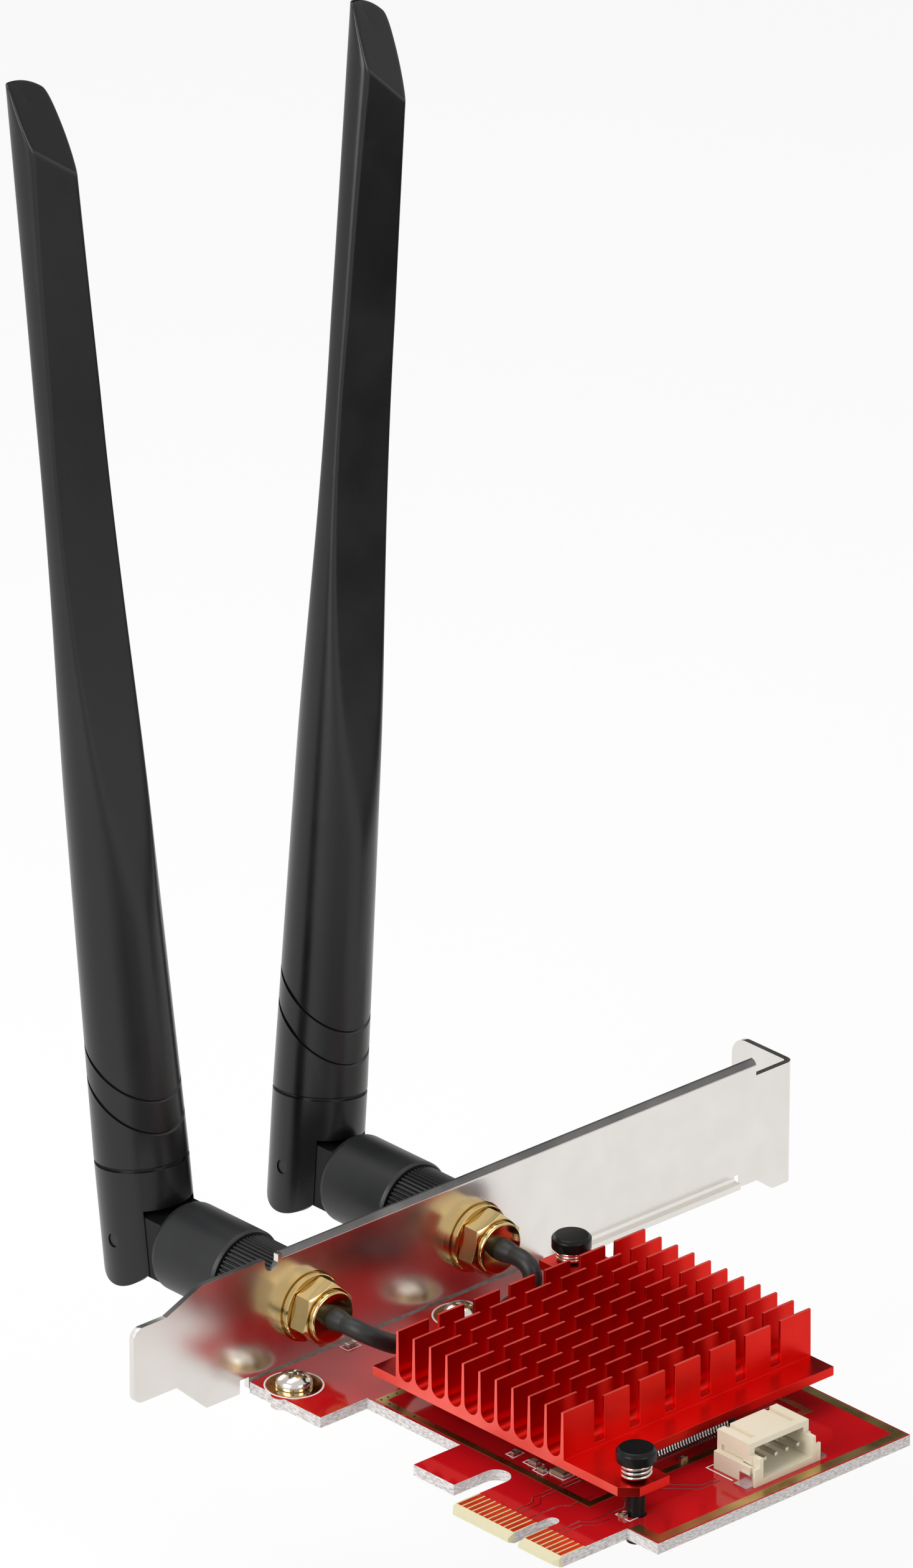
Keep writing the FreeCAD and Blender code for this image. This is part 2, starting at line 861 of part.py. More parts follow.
def make_module():
    left = "module_place - module_wide / 2"
    top = "module_under + module_thick"
    blank = box("module_blank", ("module_wide", "module_long", "module_thick"),
                (left, "module_near", "module_under"))
    end = "module_near + module_long"
    bore = rod("module_bore", "module_hole", "module_thick", ("module_place", end, "module_under"))
    keep("radio_module", cut("radio_module", blank, bore))
    keep("module_shield", box(
        "module_shield", ("can_wide", "can_long", "can_high"),
        ("module_place - can_wide / 2", "can_near", top),
    ))
    keep("thermal_pad", box(
        "thermal_pad", ("can_wide", "can_long", f"cooler_under - ({top}) - can_high"),
        ("module_place - can_wide / 2", "can_near", f"{top} + can_high"),
    ))
    shell = box("socket_shell", ("module_wide", "socket_deep", "socket_high"),
                (left, "socket_near", "board_thick / 2"))
    mouth = box("socket_mouth", ("module_wide", "socket_deep - socket_tongue", "module_thick"),
                (left, "socket_near + socket_tongue", "module_under"))
    ledge = box("socket_ledge", ("module_wide", "socket_deep - socket_tongue", "socket_high"),
                (left, "socket_near + socket_ledge", top))
    keep("module_socket", cut("module_socket", shell, mouth, ledge))
    leads = []
    for index in range(int(size("socket_leads"))):
        middle = f"module_place + ({index} - (socket_leads - 1) / 2) * socket_lead_pitch"
        leads.append(box(
            f"socket_lead_{index}", ("socket_lead", "socket_lead_out", "socket_lead_thick"),
            (f"{middle} - socket_lead / 2", "socket_near - socket_lead_out", "board_thick / 2"),
        ))
    keep("module_socket_leads", group("module_socket_leads", leads))
    post = rod("post_blank", "post_radius", "module_under - board_thick / 2",
               ("module_place", end, "board_thick / 2"))
    post_bore = rod("post_bore", "post_bore + post_fit", "module_under - board_thick / 2",
                    ("module_place", end, "board_thick / 2"))
    keep("module_standoff", cut("module_standoff", post, post_bore))
    shank = rod("module_screw_shank", "post_bore", f"{top} - board_thick / 2",
                ("module_place", end, "board_thick / 2"))
    head = rod("module_screw_head", "post_screw", "post_screw_high", ("module_place", end, top))
    keep("module_screw", fuse("module_screw", shank, head))


def make_pigtails():
    top = "module_under + module_thick"
    bases = []
    for side in SIDES:
        x = f"module_place + {SIGN[side]} * plug_spread / 2"
        bases.append(rod(f"{side}_plug_base", "plug_base", "plug_base_high", (x, "plug_line", top)))
        can = rod(f"{side}_plug_can", "plug_radius", "plug_high", (x, "plug_line", f"{top} + plug_base_high"))
        tail = rod(f"{side}_plug_tail", "plug_tail_radius", "plug_tail",
                   (x, "plug_line", f"{top} + plug_tail_high"), "Y")
        keep(f"{side}_pigtail_plug", fuse(f"{side}_pigtail_plug", can, tail))

        sleeve_end = size("board_back") + size("bracket_gap")
        for thickness in ("washer_thick", "star_thick", "jack_flange_thick", "jack_hex_thick",
                          "jack_rim_long", "sleeve_long"):
            sleeve_end -= size(thickness)
        start = Vector(size(f"{side}_jack"), sleeve_end, size("jack_high"))
        plug_x = size("module_place") + SIGN[side] * size("plug_spread") / 2
        tail_level = size("module_under") + size("module_thick") + size("plug_tail_high")
        end = Vector(plug_x, size("plug_line") + size("plug_tail"), tail_level)
        leave = start - Vector(0, size("cable_lead_out"), 0)
        arrive = end + Vector(0, size("cable_lead_in"), 0)
        bends = [Vector(*point) for point in ROUTES[side]]
        route = [start, leave, *bends, arrive, end]
        cable = doc.addObject("Part::Feature", f"{side}_pigtail")
        cable.Shape = tube_along(route, size("cable_radius"))
        keep(f"{side}_pigtail", cable)
        keep(f"{side}_pigtail_sleeve", rod(
            f"{side}_pigtail_sleeve", "sleeve_radius", "sleeve_long + jack_recess",
            (f"{side}_jack", f"{JACK_REAR} - sleeve_long", "jack_high"), "Y",
        ))
    keep("module_antenna_sockets", group("module_antenna_sockets", bases))


def make_header():
    ground = "board_thick / 2"
    lower = box("header_lower", ("header_wide", "header_deep", "header_step"),
                ("header_middle - header_wide / 2", "header_near", ground))
    upper = box("header_upper_block", ("header_upper", "header_deep", "header_high"),
                ("header_middle - header_upper / 2", "header_near", ground))
    mouth = box("header_mouth_room",
                ("header_mouth", "header_deep - header_back", "header_high - header_floor - header_roof"),
                ("header_middle - header_mouth / 2", "header_near", f"{ground} + header_floor"))
    cutters = [mouth]
    for name, sign in (("left", -1), ("right", 1)):
        cutters.append(box(
            f"header_{name}_groove", ("header_groove", "header_deep", "header_groove_deep"),
            (f"header_middle + {sign} * header_groove_out - header_groove / 2", "header_near",
             f"{ground} + header_high - header_groove_deep"),
        ))
    posts = []
    for index in range(int(size("header_ways"))):
        middle = f"header_middle + ({index} - (header_ways - 1) / 2) * header_pitch"
        back = "header_near + header_deep"
        level = f"{ground} + post_axis - post_square / 2"
        cutters.append(box(
            f"header_post_hole_{index}",
            ("post_square + 2 * post_clear", "header_back", "post_square + 2 * post_clear"),
            (f"{middle} - post_square / 2 - post_clear", f"{back} - header_back", f"{level} - post_clear"),
        ))
        reach = box(f"header_post_{index}",
                    ("post_square", "post_reach + header_back + post_square + post_clear", "post_square"),
                    (f"{middle} - post_square / 2", f"{back} - header_back - post_reach", level))
        leg = box(f"header_leg_{index}", ("post_square", "post_square", "post_axis"),
                  (f"{middle} - post_square / 2", f"{back} + post_clear", ground))
        foot = box(f"header_foot_{index}", ("post_square", "foot_long", "foot_thick"),
                   (f"{middle} - post_square / 2", f"{back} + post_clear", ground))
        posts.append(fuse(f"header_pin_{index}", reach, leg, foot))
    keep("header_shell", cut("header_shell", fuse("header_blank", lower, upper), *cutters))
    keep("header_pins", group("header_pins", posts))
    tabs = []
    for name, corner in (
        ("left", "header_middle - header_wide / 2 - foot_thick"),
        ("right", "header_middle + header_wide / 2"),
    ):
        upright = box(f"header_{name}_tab_side", ("foot_thick", "solder_tab_long", "solder_tab_high"),
                      (corner, "header_near + foot_thick", ground))
        outward = "-solder_tab_wide" if name == "left" else "foot_thick"
        foot = box(f"header_{name}_tab_foot", ("solder_tab_wide", "solder_tab_long", "foot_thick"),
                   (f"{corner} + {outward}", "header_near + foot_thick", ground))
        tabs.append(fuse(f"header_{name}_tab", upright, foot))
    keep("header_solder_tabs", group("header_solder_tabs", tabs))


BRACKET_OUTSIDE = f"({BRACKET_FACE} + sheet)"
JACK_SEAT = f"({BRACKET_FACE} - washer_thick - star_thick)"
JACK_REAR = f"({JACK_SEAT} - jack_flange_thick - jack_hex_thick - jack_rim_long)"
JACK_END = f"({BRACKET_OUTSIDE} + jack_out)"
COLLAR_START = f"({BRACKET_OUTSIDE} + nut_thick + collar_off)"
COLLAR_END = f"({COLLAR_START} + collar_long)"
BARREL_START = f"({COLLAR_END} + barrel_gap)"
BARREL_END = f"({BARREL_START} + barrel_long)"
PIVOT = f"({BARREL_END} + pivot_out)"


def make_jack(side):
    x = f"{side}_jack"
    z = "jack_high"
    washer = rod(f"{side}_washer_disc", "washer_radius", "washer_thick",
                 (x, f"{BRACKET_FACE} - washer_thick", z), "Y")
    washer_bore = rod(f"{side}_washer_bore", "thread_radius + thread_room", "washer_thick",
                      (x, f"{BRACKET_FACE} - washer_thick", z), "Y")
    keep(f"{side}_flat_washer", cut(f"{side}_flat_washer", washer, washer_bore))
    star = pad(f"{side}_star", "XZ_Plane", f"-{JACK_SEAT}", "star_thick",
               wavy(size("star_radius"), size("star_tooth"), int(size("star_teeth"))), True)
    place(star, x, 0, z)
    star_bore = rod(f"{side}_star_bore", "thread_radius + thread_room", "star_thick", (x, JACK_SEAT, z), "Y")
    keep(f"{side}_lock_washer", cut(f"{side}_lock_washer", star, star_bore))

    flange_near = f"({JACK_SEAT} - jack_flange_thick)"
    hex_near = f"({flange_near} - jack_hex_thick)"
    flange = rod(f"{side}_jack_flange", "jack_flange", "jack_flange_thick", (x, flange_near, z), "Y")
    drive = hexagon(f"{side}_jack_hex", "jack_hex", "jack_hex_thick", (x, hex_near, z))
    drive.Placement = Placement(
        drive.Placement.Base,
        Rotation(Vector(0, 1, 0), size("jack_hex_turn")).multiply(TURN["Y"]),
    )
    rim = rod(f"{side}_jack_rim", "jack_rim", "jack_rim_long", (x, JACK_REAR, z), "Y")
    thread = rod(f"{side}_jack_thread", "thread_radius", f"{JACK_END} - {JACK_SEAT}", (x, JACK_SEAT, z), "Y")
    bore = rod(f"{side}_jack_bore", "jack_bore", f"{JACK_END} - {JACK_REAR}", (x, JACK_REAR, z), "Y")
    blank = fuse(f"{side}_jack_blank", flange, drive, rim, thread)
    keep(f"{side}_sma_jack", cut(f"{side}_sma_jack", blank, bore))

    core_start = f"({JACK_REAR} + jack_recess)"
    core = rod(f"{side}_core_blank", "jack_bore - core_fit", f"{JACK_END} - {core_start}",
               (x, core_start, z), "Y")
    core_bore = rod(f"{side}_core_bore", "contact_radius + core_fit", f"{JACK_END} - {core_start}",
                    (x, core_start, z), "Y")
    keep(f"{side}_jack_insulator", cut(f"{side}_jack_insulator", core, core_bore))
    contact = rod(f"{side}_contact_blank", "contact_radius", f"{JACK_END} - {core_start}",
                  (x, core_start, z), "Y")
    socket = rod(f"{side}_contact_socket", "plug_pin + plug_pin_fit", "plug_pin_in + plug_pin_fit",
                 (x, f"{JACK_END} - plug_pin_in - plug_pin_fit", z), "Y")
    keep(f"{side}_jack_contact", cut(f"{side}_jack_contact", contact, socket))

    nut = hexagon(f"{side}_nut_blank", "nut_hex", "nut_thick", (x, BRACKET_OUTSIDE, z))
    nut_bore = rod(f"{side}_nut_bore", "thread_radius + screw_fit", "nut_thick", (x, BRACKET_OUTSIDE, z), "Y")
    keep(f"{side}_jack_nut", cut(f"{side}_jack_nut", nut, nut_bore))


def swivelled(side, thing):
    """Set a piece drawn about the Y axis onto the socket's axis, turned as it rests."""
    turn = Rotation(Vector(0, 1, 0), size(f"{side}_swivel"))
    return place(thing, f"{side}_jack", 0, "jack_high", turn)


def folded(side, thing):
    """Set a piece drawn upright about its pivot onto the hinge, folded as it rests."""
    turn = Rotation(Vector(0, 1, 0), size(f"{side}_swivel"))
    lean = Rotation(Vector(1, 0, 0), -size(f"{side}_fold"))
    return place(thing, f"{side}_jack", PIVOT, "jack_high", turn.multiply(lean))


def make_collar(side):
    blank = pad(f"{side}_collar_blank", "XZ_Plane", f"-{COLLAR_START}", "collar_long",
                wavy(size("collar_radius"), size("knurl_deep"), int(size("knurl_teeth"))), True)
    bore = rod(f"{side}_collar_bore", "thread_radius + collar_fit", "collar_long", (0, COLLAR_START, 0), "Y")
    seat_start = f"({COLLAR_END} - collar_seat)"
    seat = rod(f"{side}_collar_seat", "spigot_radius + collar_fit", "collar_seat", (0, seat_start, 0), "Y")
    collar = cut(f"{side}_antenna_collar", blank, bore, seat)
    keep(f"{side}_antenna_collar", place(collar, f"{side}_jack", 0, "jack_high"))


def make_barrel(side):
    bevel = cone(f"{side}_barrel_bevel", "barrel_radius - barrel_bevel / 2", "barrel_radius",
                 "barrel_bevel", (0, BARREL_START, 0), "Y")
    drum = rod(f"{side}_barrel_drum", "barrel_radius", "barrel_long - barrel_bevel",
               (0, f"{BARREL_START} + barrel_bevel", 0), "Y")
    doc.recompute()
    far = max(edge.BoundBox.YMin for edge in drum.Shape.Edges)
    end = doc.addObject("Part::Fillet", f"{side}_barrel_end")
    end.Base = drum
    end.Edges = [
        (number, size("barrel_round"), size("barrel_round"))
        for number, edge in enumerate(drum.Shape.Edges, 1)
        if edge.Closed and abs(edge.BoundBox.YMin - far) < size("barrel_round")
    ]
    spigot_start = f"({COLLAR_END} - collar_seat + spigot_gap)"
    spigot = rod(f"{side}_spigot", "spigot_radius", f"{BARREL_START} - {spigot_start}",
                 (0, spigot_start, 0), "Y")
    half = "(slot_wide / 2 - slot_side_room)"
    web = box(f"{side}_tongue_web",
              (f"2 * {half}", f"{PIVOT} - {BARREL_END} + barrel_round", "2 * tongue_radius"),
              (f"-{half}", f"{BARREL_END} - barrel_round", "-tongue_radius"))
    knuckle = rod(f"{side}_tongue_knuckle", "tongue_radius", f"2 * {half}", (f"-{half}", PIVOT, 0), "X")
    eye = rod(f"{side}_tongue_eye", "hinge_pin + hinge_fit", f"2 * {half}", (f"-{half}", PIVOT, 0), "X")
    pin_room = rod(f"{side}_plug_pin_room", "plug_pin + core_fit",
                   f"{BARREL_START} + plug_pin_back - {spigot_start}", (0, spigot_start, 0), "Y")
    blank = fuse(f"{side}_barrel_blank", bevel, end, spigot, web, knuckle)
    barrel = cut(f"{side}_swivel_barrel", blank, eye, pin_room)
    keep(f"{side}_swivel_barrel", swivelled(side, barrel))
    pin = rod(f"{side}_plug_pin", "plug_pin", f"{BARREL_START} + plug_pin_back - {JACK_END} + plug_pin_in",
              (0, f"{JACK_END} - plug_pin_in", 0), "Y")
    keep(f"{side}_plug_pin", swivelled(side, group(f"{side}_plug_pin_whole", [pin])))


def make_fork(side):
    round_end = common(
        f"{side}_fork_end",
        rod(f"{side}_fork_foot", "ear_radius", "2 * ear_radius", (0, 0, "-ear_radius")),
        rod(f"{side}_fork_ears", "ear_radius", "2 * ear_radius", ("-ear_radius", 0, 0), "X"),
    )
    drum = rod(f"{side}_fork_drum", "ear_radius", "neck_high_up", (0, 0, 0))
    neck = rod(f"{side}_fork_neck", "neck_radius", "neck_groove", (0, 0, "neck_high_up"))
    plug = rod(f"{side}_fork_plug", "core_plug_radius", "core_plug_long",
               (0, 0, "neck_high_up + neck_groove"))
    slot = box(f"{side}_fork_slot", ("slot_wide", "4 * ear_radius", "2 * ear_radius + slot_roof"),
               ("-slot_wide / 2", "-2 * ear_radius", "-2 * ear_radius"))
    eye = rod(f"{side}_fork_eye", "hinge_pin + post_clear", "2 * ear_radius", ("-ear_radius", 0, 0), "X")
    lead = rod(f"{side}_fork_lead", "radiator_rod + radiator_fit",
               "neck_high_up + neck_groove + core_plug_long", (0, 0, 0))
    blank = fuse(f"{side}_fork_blank", round_end, drum, neck, plug)
    fork = cut(f"{side}_antenna_fork", blank, slot, eye, lead)
    keep(f"{side}_antenna_fork", folded(side, fork))
    pin = rod(f"{side}_pin_rod", "hinge_pin", "2 * (ear_radius - hinge_pin_sink)",
              ("hinge_pin_sink - ear_radius", 0, 0), "X")
    keep(f"{side}_hinge_pin", folded(side, group(f"{side}_hinge_pin_whole", [pin])))


SLEEVE_FOOT = "(neck_high_up + neck_groove)"
SLEEVE_RISE = "(flat_end - neck_high_up - neck_groove)"


def make_blade(side):
    cone_outside = cone(f"{side}_sleeve_cone", "sleeve_foot_radius", "sleeve_top_radius", SLEEVE_RISE,
                        (0, 0, SLEEVE_FOOT))
    foot = size("neck_high_up") + size("neck_groove")
    wide = size("sleeve_foot_radius") + 1
    start = (size("flat_start_half"), size("flat_start"))
    middle = (size("flat_mid_half"), size("flat_mid"))
    thin = (size("flat_thin_half"), size("flat_thin"))
    upper = (size("flat_upper_half"), size("flat_upper"))
    end = (size("flat_end_half"), size("flat_end"))

    def mirror(point):
        return (-point[0], point[1])

    slab = pad(f"{side}_flats", "YZ_Plane", "-sleeve_foot_radius", "2 * sleeve_foot_radius", [
        (wide, foot),
        (wide, start[1]),
        start,
        (middle, thin),
        (upper, end),
        mirror(end),
        (mirror(upper), mirror(thin)),
        (mirror(middle), mirror(start)),
        (-wide, start[1]),
        (-wide, foot),
    ])
    blade = common(f"{side}_blade_blank", cone_outside, slab)
    tip = box(f"{side}_tip_room", ("tip_room_wide", "tip_room_wide", "tip_room_high"), (0, 0, 0))
    up = Vector(size("tip_slope_across"), -size("tip_slope_along"), 1).normalize()
    tilt = Rotation(Vector(0, 0, 1), up)
    back = tilt.multVec(Vector(-1, -1, 0)) * (size("tip_room_wide") / 2)
    place(tip, back.x, back.y, f"blade_top + {back.z}", tilt)
    tipped = cut(f"{side}_blade_tipped", blade, tip)
    doc.recompute()
    rounded = doc.addObject("Part::Fillet", f"{side}_blade_rounded")
    rounded.Base = tipped
    level = up.z * size("blade_top")
    rounded.Edges = [
        (number, size("tip_edge"), size("tip_edge"))
        for number, edge in enumerate(tipped.Shape.Edges, 1)
        if all(abs(corner.Point.dot(up) - level) < 1e-4 for corner in edge.Vertexes)
    ]
    cutters = []
    angle = math.degrees(math.atan(size("band_slope")))
    for name in ("band_low", "band_high"):
        reach = size("band_room") / 2
        plate = box(f"{side}_{name}_plate", ("band_room", "band_room", "band_wide"), (0, 0, 0))
        lean = Rotation(Vector(1, 0, 0), angle)
        corner = lean.multVec(Vector(-reach, -reach, -size("band_wide") / 2))
        place(plate, corner.x, corner.y, f"{name} + {corner.z}", lean)
        inside = cone(f"{side}_{name}_inside", "sleeve_foot_radius - band_deep",
                      "sleeve_top_radius - band_deep", SLEEVE_RISE, (0, 0, SLEEVE_FOOT))
        cutters.append(cut(f"{side}_{name}_groove", plate, inside))
    plug_top = f"({SLEEVE_FOOT} + core_plug_long)"
    cutters.append(rod(f"{side}_plug_room", "core_plug_radius + core_plug_fit", "core_plug_long",
                       (0, 0, SLEEVE_FOOT)))
    cutters.append(rod(f"{side}_tube_room", "radiator_tube + radiator_fit", "radiator_tube_long",
                       (0, 0, plug_top)))
    cutters.append(rod(f"{side}_rod_room", "radiator_rod + radiator_fit", "radiator_long + radiator_fit",
                       (0, 0, plug_top)))
    sleeve = cut(f"{side}_antenna_sleeve", rounded, *cutters)
    keep(f"{side}_antenna_sleeve", folded(side, sleeve))
    tube = rod(f"{side}_radiator_tube", "radiator_tube", "radiator_tube_long", (0, 0, plug_top))
    rod_up = rod(f"{side}_radiator_rod", "radiator_rod", "radiator_long", (0, 0, plug_top))
    keep(f"{side}_radiator", folded(side, fuse(f"{side}_radiator", tube, rod_up)))


def make_chips():
    bodies = []
    ends = []
    for index, (x, y, along, across) in enumerate(CHIPS):
        lying = along > across
        length, breadth = (along, across) if lying else (across, along)
        ground = "board_thick / 2"
        if lying:
            spans = (f"{length} - 2 * chip_cap", breadth, "chip_thick")
            corner = (f"{x - length / 2} + chip_cap", y - breadth / 2, ground)
            caps = [(x - length / 2, y - breadth / 2), (f"{x + length / 2} - chip_cap", y - breadth / 2)]
            cap_spans = ("chip_cap", breadth, "chip_thick")
        else:
            spans = (breadth, f"{length} - 2 * chip_cap", "chip_thick")
            corner = (x - breadth / 2, f"{y - length / 2} + chip_cap", ground)
            caps = [(x - breadth / 2, y - length / 2), (x - breadth / 2, f"{y + length / 2} - chip_cap")]
            cap_spans = (breadth, "chip_cap", "chip_thick")
        bodies.append(box(f"chip_body_{index}", spans, corner))
        for place_index, (cap_x, cap_y) in enumerate(caps):
            ends.append(box(f"chip_end_{index}_{place_index}", cap_spans, (cap_x, cap_y, ground)))
    keep("chip_bodies", group("chip_bodies", bodies))
    keep("chip_terminals", group("chip_terminals", ends))


def check_and_write():
    doc.recompute()
    for thing in doc.Objects:
        if "Invalid" in thing.State or "Error" in thing.State:
            raise RuntimeError(f"{thing.Label} failed: {thing.State}")
    for label, thing in pieces.items():
        if thing.Shape.isNull() or not thing.Shape.isValid() or not thing.Shape.Solids:
            raise RuntimeError(f"{label} has no valid solid")
    os.makedirs("parts", exist_ok=True)
    for label, thing in pieces.items():
        thing.Shape.exportStep(f"parts/{label}.step")
        print(label, len(thing.Shape.Solids), round(thing.Shape.Volume, 2))


make_board()
make_contacts()
make_bracket()
make_screws()
make_cooler()
make_push_pins()
make_module()
make_pigtails()
make_header()
for side_name in SIDES:
    make_jack(side_name)
    make_collar(side_name)
    make_barrel(side_name)
    make_fork(side_name)
    make_blade(side_name)
make_chips()
check_and_write()
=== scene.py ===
import math

import bmesh
import bpy
from mathutils import Matrix, Vector


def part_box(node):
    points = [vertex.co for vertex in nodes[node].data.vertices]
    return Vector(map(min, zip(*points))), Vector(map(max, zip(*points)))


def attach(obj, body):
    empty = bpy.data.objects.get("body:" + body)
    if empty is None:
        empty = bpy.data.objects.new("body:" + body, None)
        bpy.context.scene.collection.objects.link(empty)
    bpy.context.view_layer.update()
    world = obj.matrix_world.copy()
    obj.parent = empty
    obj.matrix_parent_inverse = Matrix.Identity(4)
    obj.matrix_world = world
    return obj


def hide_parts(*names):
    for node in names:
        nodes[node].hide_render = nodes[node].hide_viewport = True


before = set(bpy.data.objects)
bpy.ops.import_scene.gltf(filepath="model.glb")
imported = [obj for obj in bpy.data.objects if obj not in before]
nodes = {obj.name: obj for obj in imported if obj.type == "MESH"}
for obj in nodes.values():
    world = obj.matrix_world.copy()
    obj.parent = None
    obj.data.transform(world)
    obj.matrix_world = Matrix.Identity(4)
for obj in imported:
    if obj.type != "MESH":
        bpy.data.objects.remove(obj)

scene = bpy.context.scene
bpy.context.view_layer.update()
mm = 0.001
boardTop = 0.8 * mm
print("frame loaded,", len(nodes), "nodes")


def addObject(name, data):
    made = bpy.data.objects.new(name, data)
    scene.collection.objects.link(made)
    return made


def rawMesh(name, points, edges, faces):
    mesh = bpy.data.meshes.new(name)
    mesh.from_pydata(points, edges, faces)
    return mesh


# camera, floor and lights

view = {
    "place": (-1.1408, -1.21925, 0.879),
    "right": (0.73442, -0.67869, 0.00337),
    "up": (0.28197, 0.30964, 0.90808),
    "lens": 331.7,
}


def setCamera():
    camera = addObject("camera", bpy.data.cameras.new("camera"))
    right = Vector(view["right"]).normalized()
    up = Vector(view["up"]).normalized()
    back = right.cross(up)
    turn = Matrix((right, up, back)).transposed().to_4x4()
    camera.matrix_world = Matrix.Translation(view["place"]) @ turn
    camera.data.lens = view["lens"]
    camera.data.sensor_width = 36
    camera.data.clip_start = 0.05
    camera.data.clip_end = 20
    scene.camera = camera


lamps = {
    "leftSoftbox": {"place": (-0.62, 0.02, 0.36), "size": (0.4, 0.5), "power": 4.0},
    "topSoftbox": {"place": (0.02, 0.3, 0.85), "size": (0.7, 0.5), "power": 3.2},
    "frontFill": {"place": (0.1, -0.9, 0.5), "size": (0.5, 0.4), "power": 3.0},
}
studio = {
    "aim": (0.045, 0.045, 0.04), "ambient": 0.42, "shadowShare": 0.2,
    "floorLevel": -0.045, "floorReach": 6.0, "floorTone": 0.92, "feltTone": 0.012,
}
cards = {
    "sideCard": {"corner": (0.213, -0.174, -0.035), "along": (0.387, -0.458, 0), "across": (0.38, 0.32, 0)},
    "frontCard": {"corner": (-0.22, -0.3, -0.035), "along": (0.27, 0, 0), "across": (0, 0.26, 0)},
    "backCard": {"corner": (0.289, 0.681, 0.118), "along": (0.367, -0.34, 0),
                 "across": (-0.114, -0.123, 0.363)},
}


def setLamps():
    for name, lamp in lamps.items():
        light = bpy.data.lights.new(name, "AREA")
        light.shape = "RECTANGLE"
        light.size, light.size_y = lamp["size"]
        light.energy = lamp["power"]
        holder = addObject(name, light)
        holder.location = lamp["place"]
        aim = Vector(studio["aim"]) - Vector(lamp["place"])
        holder.rotation_euler = aim.to_track_quat("-Z", "Y").to_euler()


def whiteForCamera(tree):
    # 1 for the rays that should see plain white: camera, mirror and glass rays
    path = tree.nodes.new("ShaderNodeLightPath")
    first = tree.nodes.new("ShaderNodeMath")
    first.operation = "MAXIMUM"
    second = tree.nodes.new("ShaderNodeMath")
    second.operation = "MAXIMUM"
    tree.links.new(path.outputs["Is Camera Ray"], first.inputs[0])
    tree.links.new(path.outputs["Is Glossy Ray"], first.inputs[1])
    tree.links.new(first.outputs[0], second.inputs[0])
    tree.links.new(path.outputs["Is Transmission Ray"], second.inputs[1])
    return second.outputs[0]


def mixOut(tree, share, first, second, out):
    mix = tree.nodes.new("ShaderNodeMixShader")
    for socket, source in zip(mix.inputs, (share, first.outputs[0], second.outputs[0])):
        tree.links.new(source, socket)
    tree.links.new(mix.outputs[0], out.inputs["Surface"])


def setWorld():
    world = bpy.data.worlds.new("studio")
    scene.world = world
    world.use_nodes = True
    tree = world.node_tree
    tree.nodes.clear()
    out = tree.nodes.new("ShaderNodeOutputWorld")
    dim = tree.nodes.new("ShaderNodeBackground")
    dim.inputs["Strength"].default_value = studio["ambient"]
    white = tree.nodes.new("ShaderNodeBackground")
    for background in (dim, white):
        background.inputs["Color"].default_value = (1, 1, 1, 1)
    mixOut(tree, whiteForCamera(tree), dim, white, out)


def bareMaterial(name):
    made = bpy.data.materials.new(name)
    made.use_nodes = True
    tree = made.node_tree
    tree.nodes.clear()
    return made, tree, tree.nodes.new("ShaderNodeOutputMaterial")


def setFloor():
    reach, level = studio["floorReach"], studio["floorLevel"]
    corners = ((-reach, -reach), (reach, -reach), (reach, reach), (-reach, reach))
    mesh = rawMesh("floor", [(x, y, level) for x, y in corners], [], [(0, 1, 2, 3)])
    floor = addObject("floor", mesh)
    paper, tree, out = bareMaterial("paleFloor")
    matt = tree.nodes.new("ShaderNodeBsdfDiffuse")
    matt.inputs["Color"].default_value = (*[studio["floorTone"]] * 3, 1)
    plain = tree.nodes.new("ShaderNodeEmission")
    plain.inputs["Color"].default_value = (1, 1, 1, 1)
    share = tree.nodes.new("ShaderNodeMath")
    share.operation = "MULTIPLY"
    share.inputs[1].default_value = 1 - studio["shadowShare"]
    tree.links.new(whiteForCamera(tree), share.inputs[0])
    mixOut(tree, share.outputs[0], matt, plain, out)
    mesh.materials.append(paper)


def blackFelt():
    # a cloth that only mirror rays see
    felt, tree, out = bareMaterial("blackFelt")
    path = tree.nodes.new("ShaderNodeLightPath")
    clear = tree.nodes.new("ShaderNodeBsdfTransparent")
    black = tree.nodes.new("ShaderNodeBsdfDiffuse")
    black.inputs["Color"].default_value = (*[studio["feltTone"]] * 3, 1)
    mixOut(tree, path.outputs["Is Glossy Ray"], clear, black, out)
    return felt


def setCards():
    # black cards outside the picture, for the dark reflections in flat tops and in the right antenna
    felt = blackFelt()
    for name, card in cards.items():
        corner, along, across = (Vector(card[key]) for key in ("corner", "along", "across"))
        corners = [corner, corner + along, corner + along + across, corner + across]
        mesh = rawMesh(name, corners, [], [(0, 1, 2, 3)])
        mesh.materials.append(felt)
        holder = addObject(name, mesh)


scene.view_settings.view_transform = "Standard"
setCamera()
setLamps()
setWorld()
setFloor()
setCards()
print("camera, lamps and floor set")


# shader groups shared by the finishes

def newGroup(name, inputs, outputs):
    group = bpy.data.node_groups.new(name, "ShaderNodeTree")
    for label, kind, value in inputs:
        socket = group.interface.new_socket(name=label, in_out="INPUT", socket_type=kind)
        if value is not None:
            socket.default_value = value
    for label, kind in outputs:
        group.interface.new_socket(name=label, in_out="OUTPUT", socket_type=kind)
    return group, group.nodes.new("NodeGroupInput"), group.nodes.new("NodeGroupOutput")


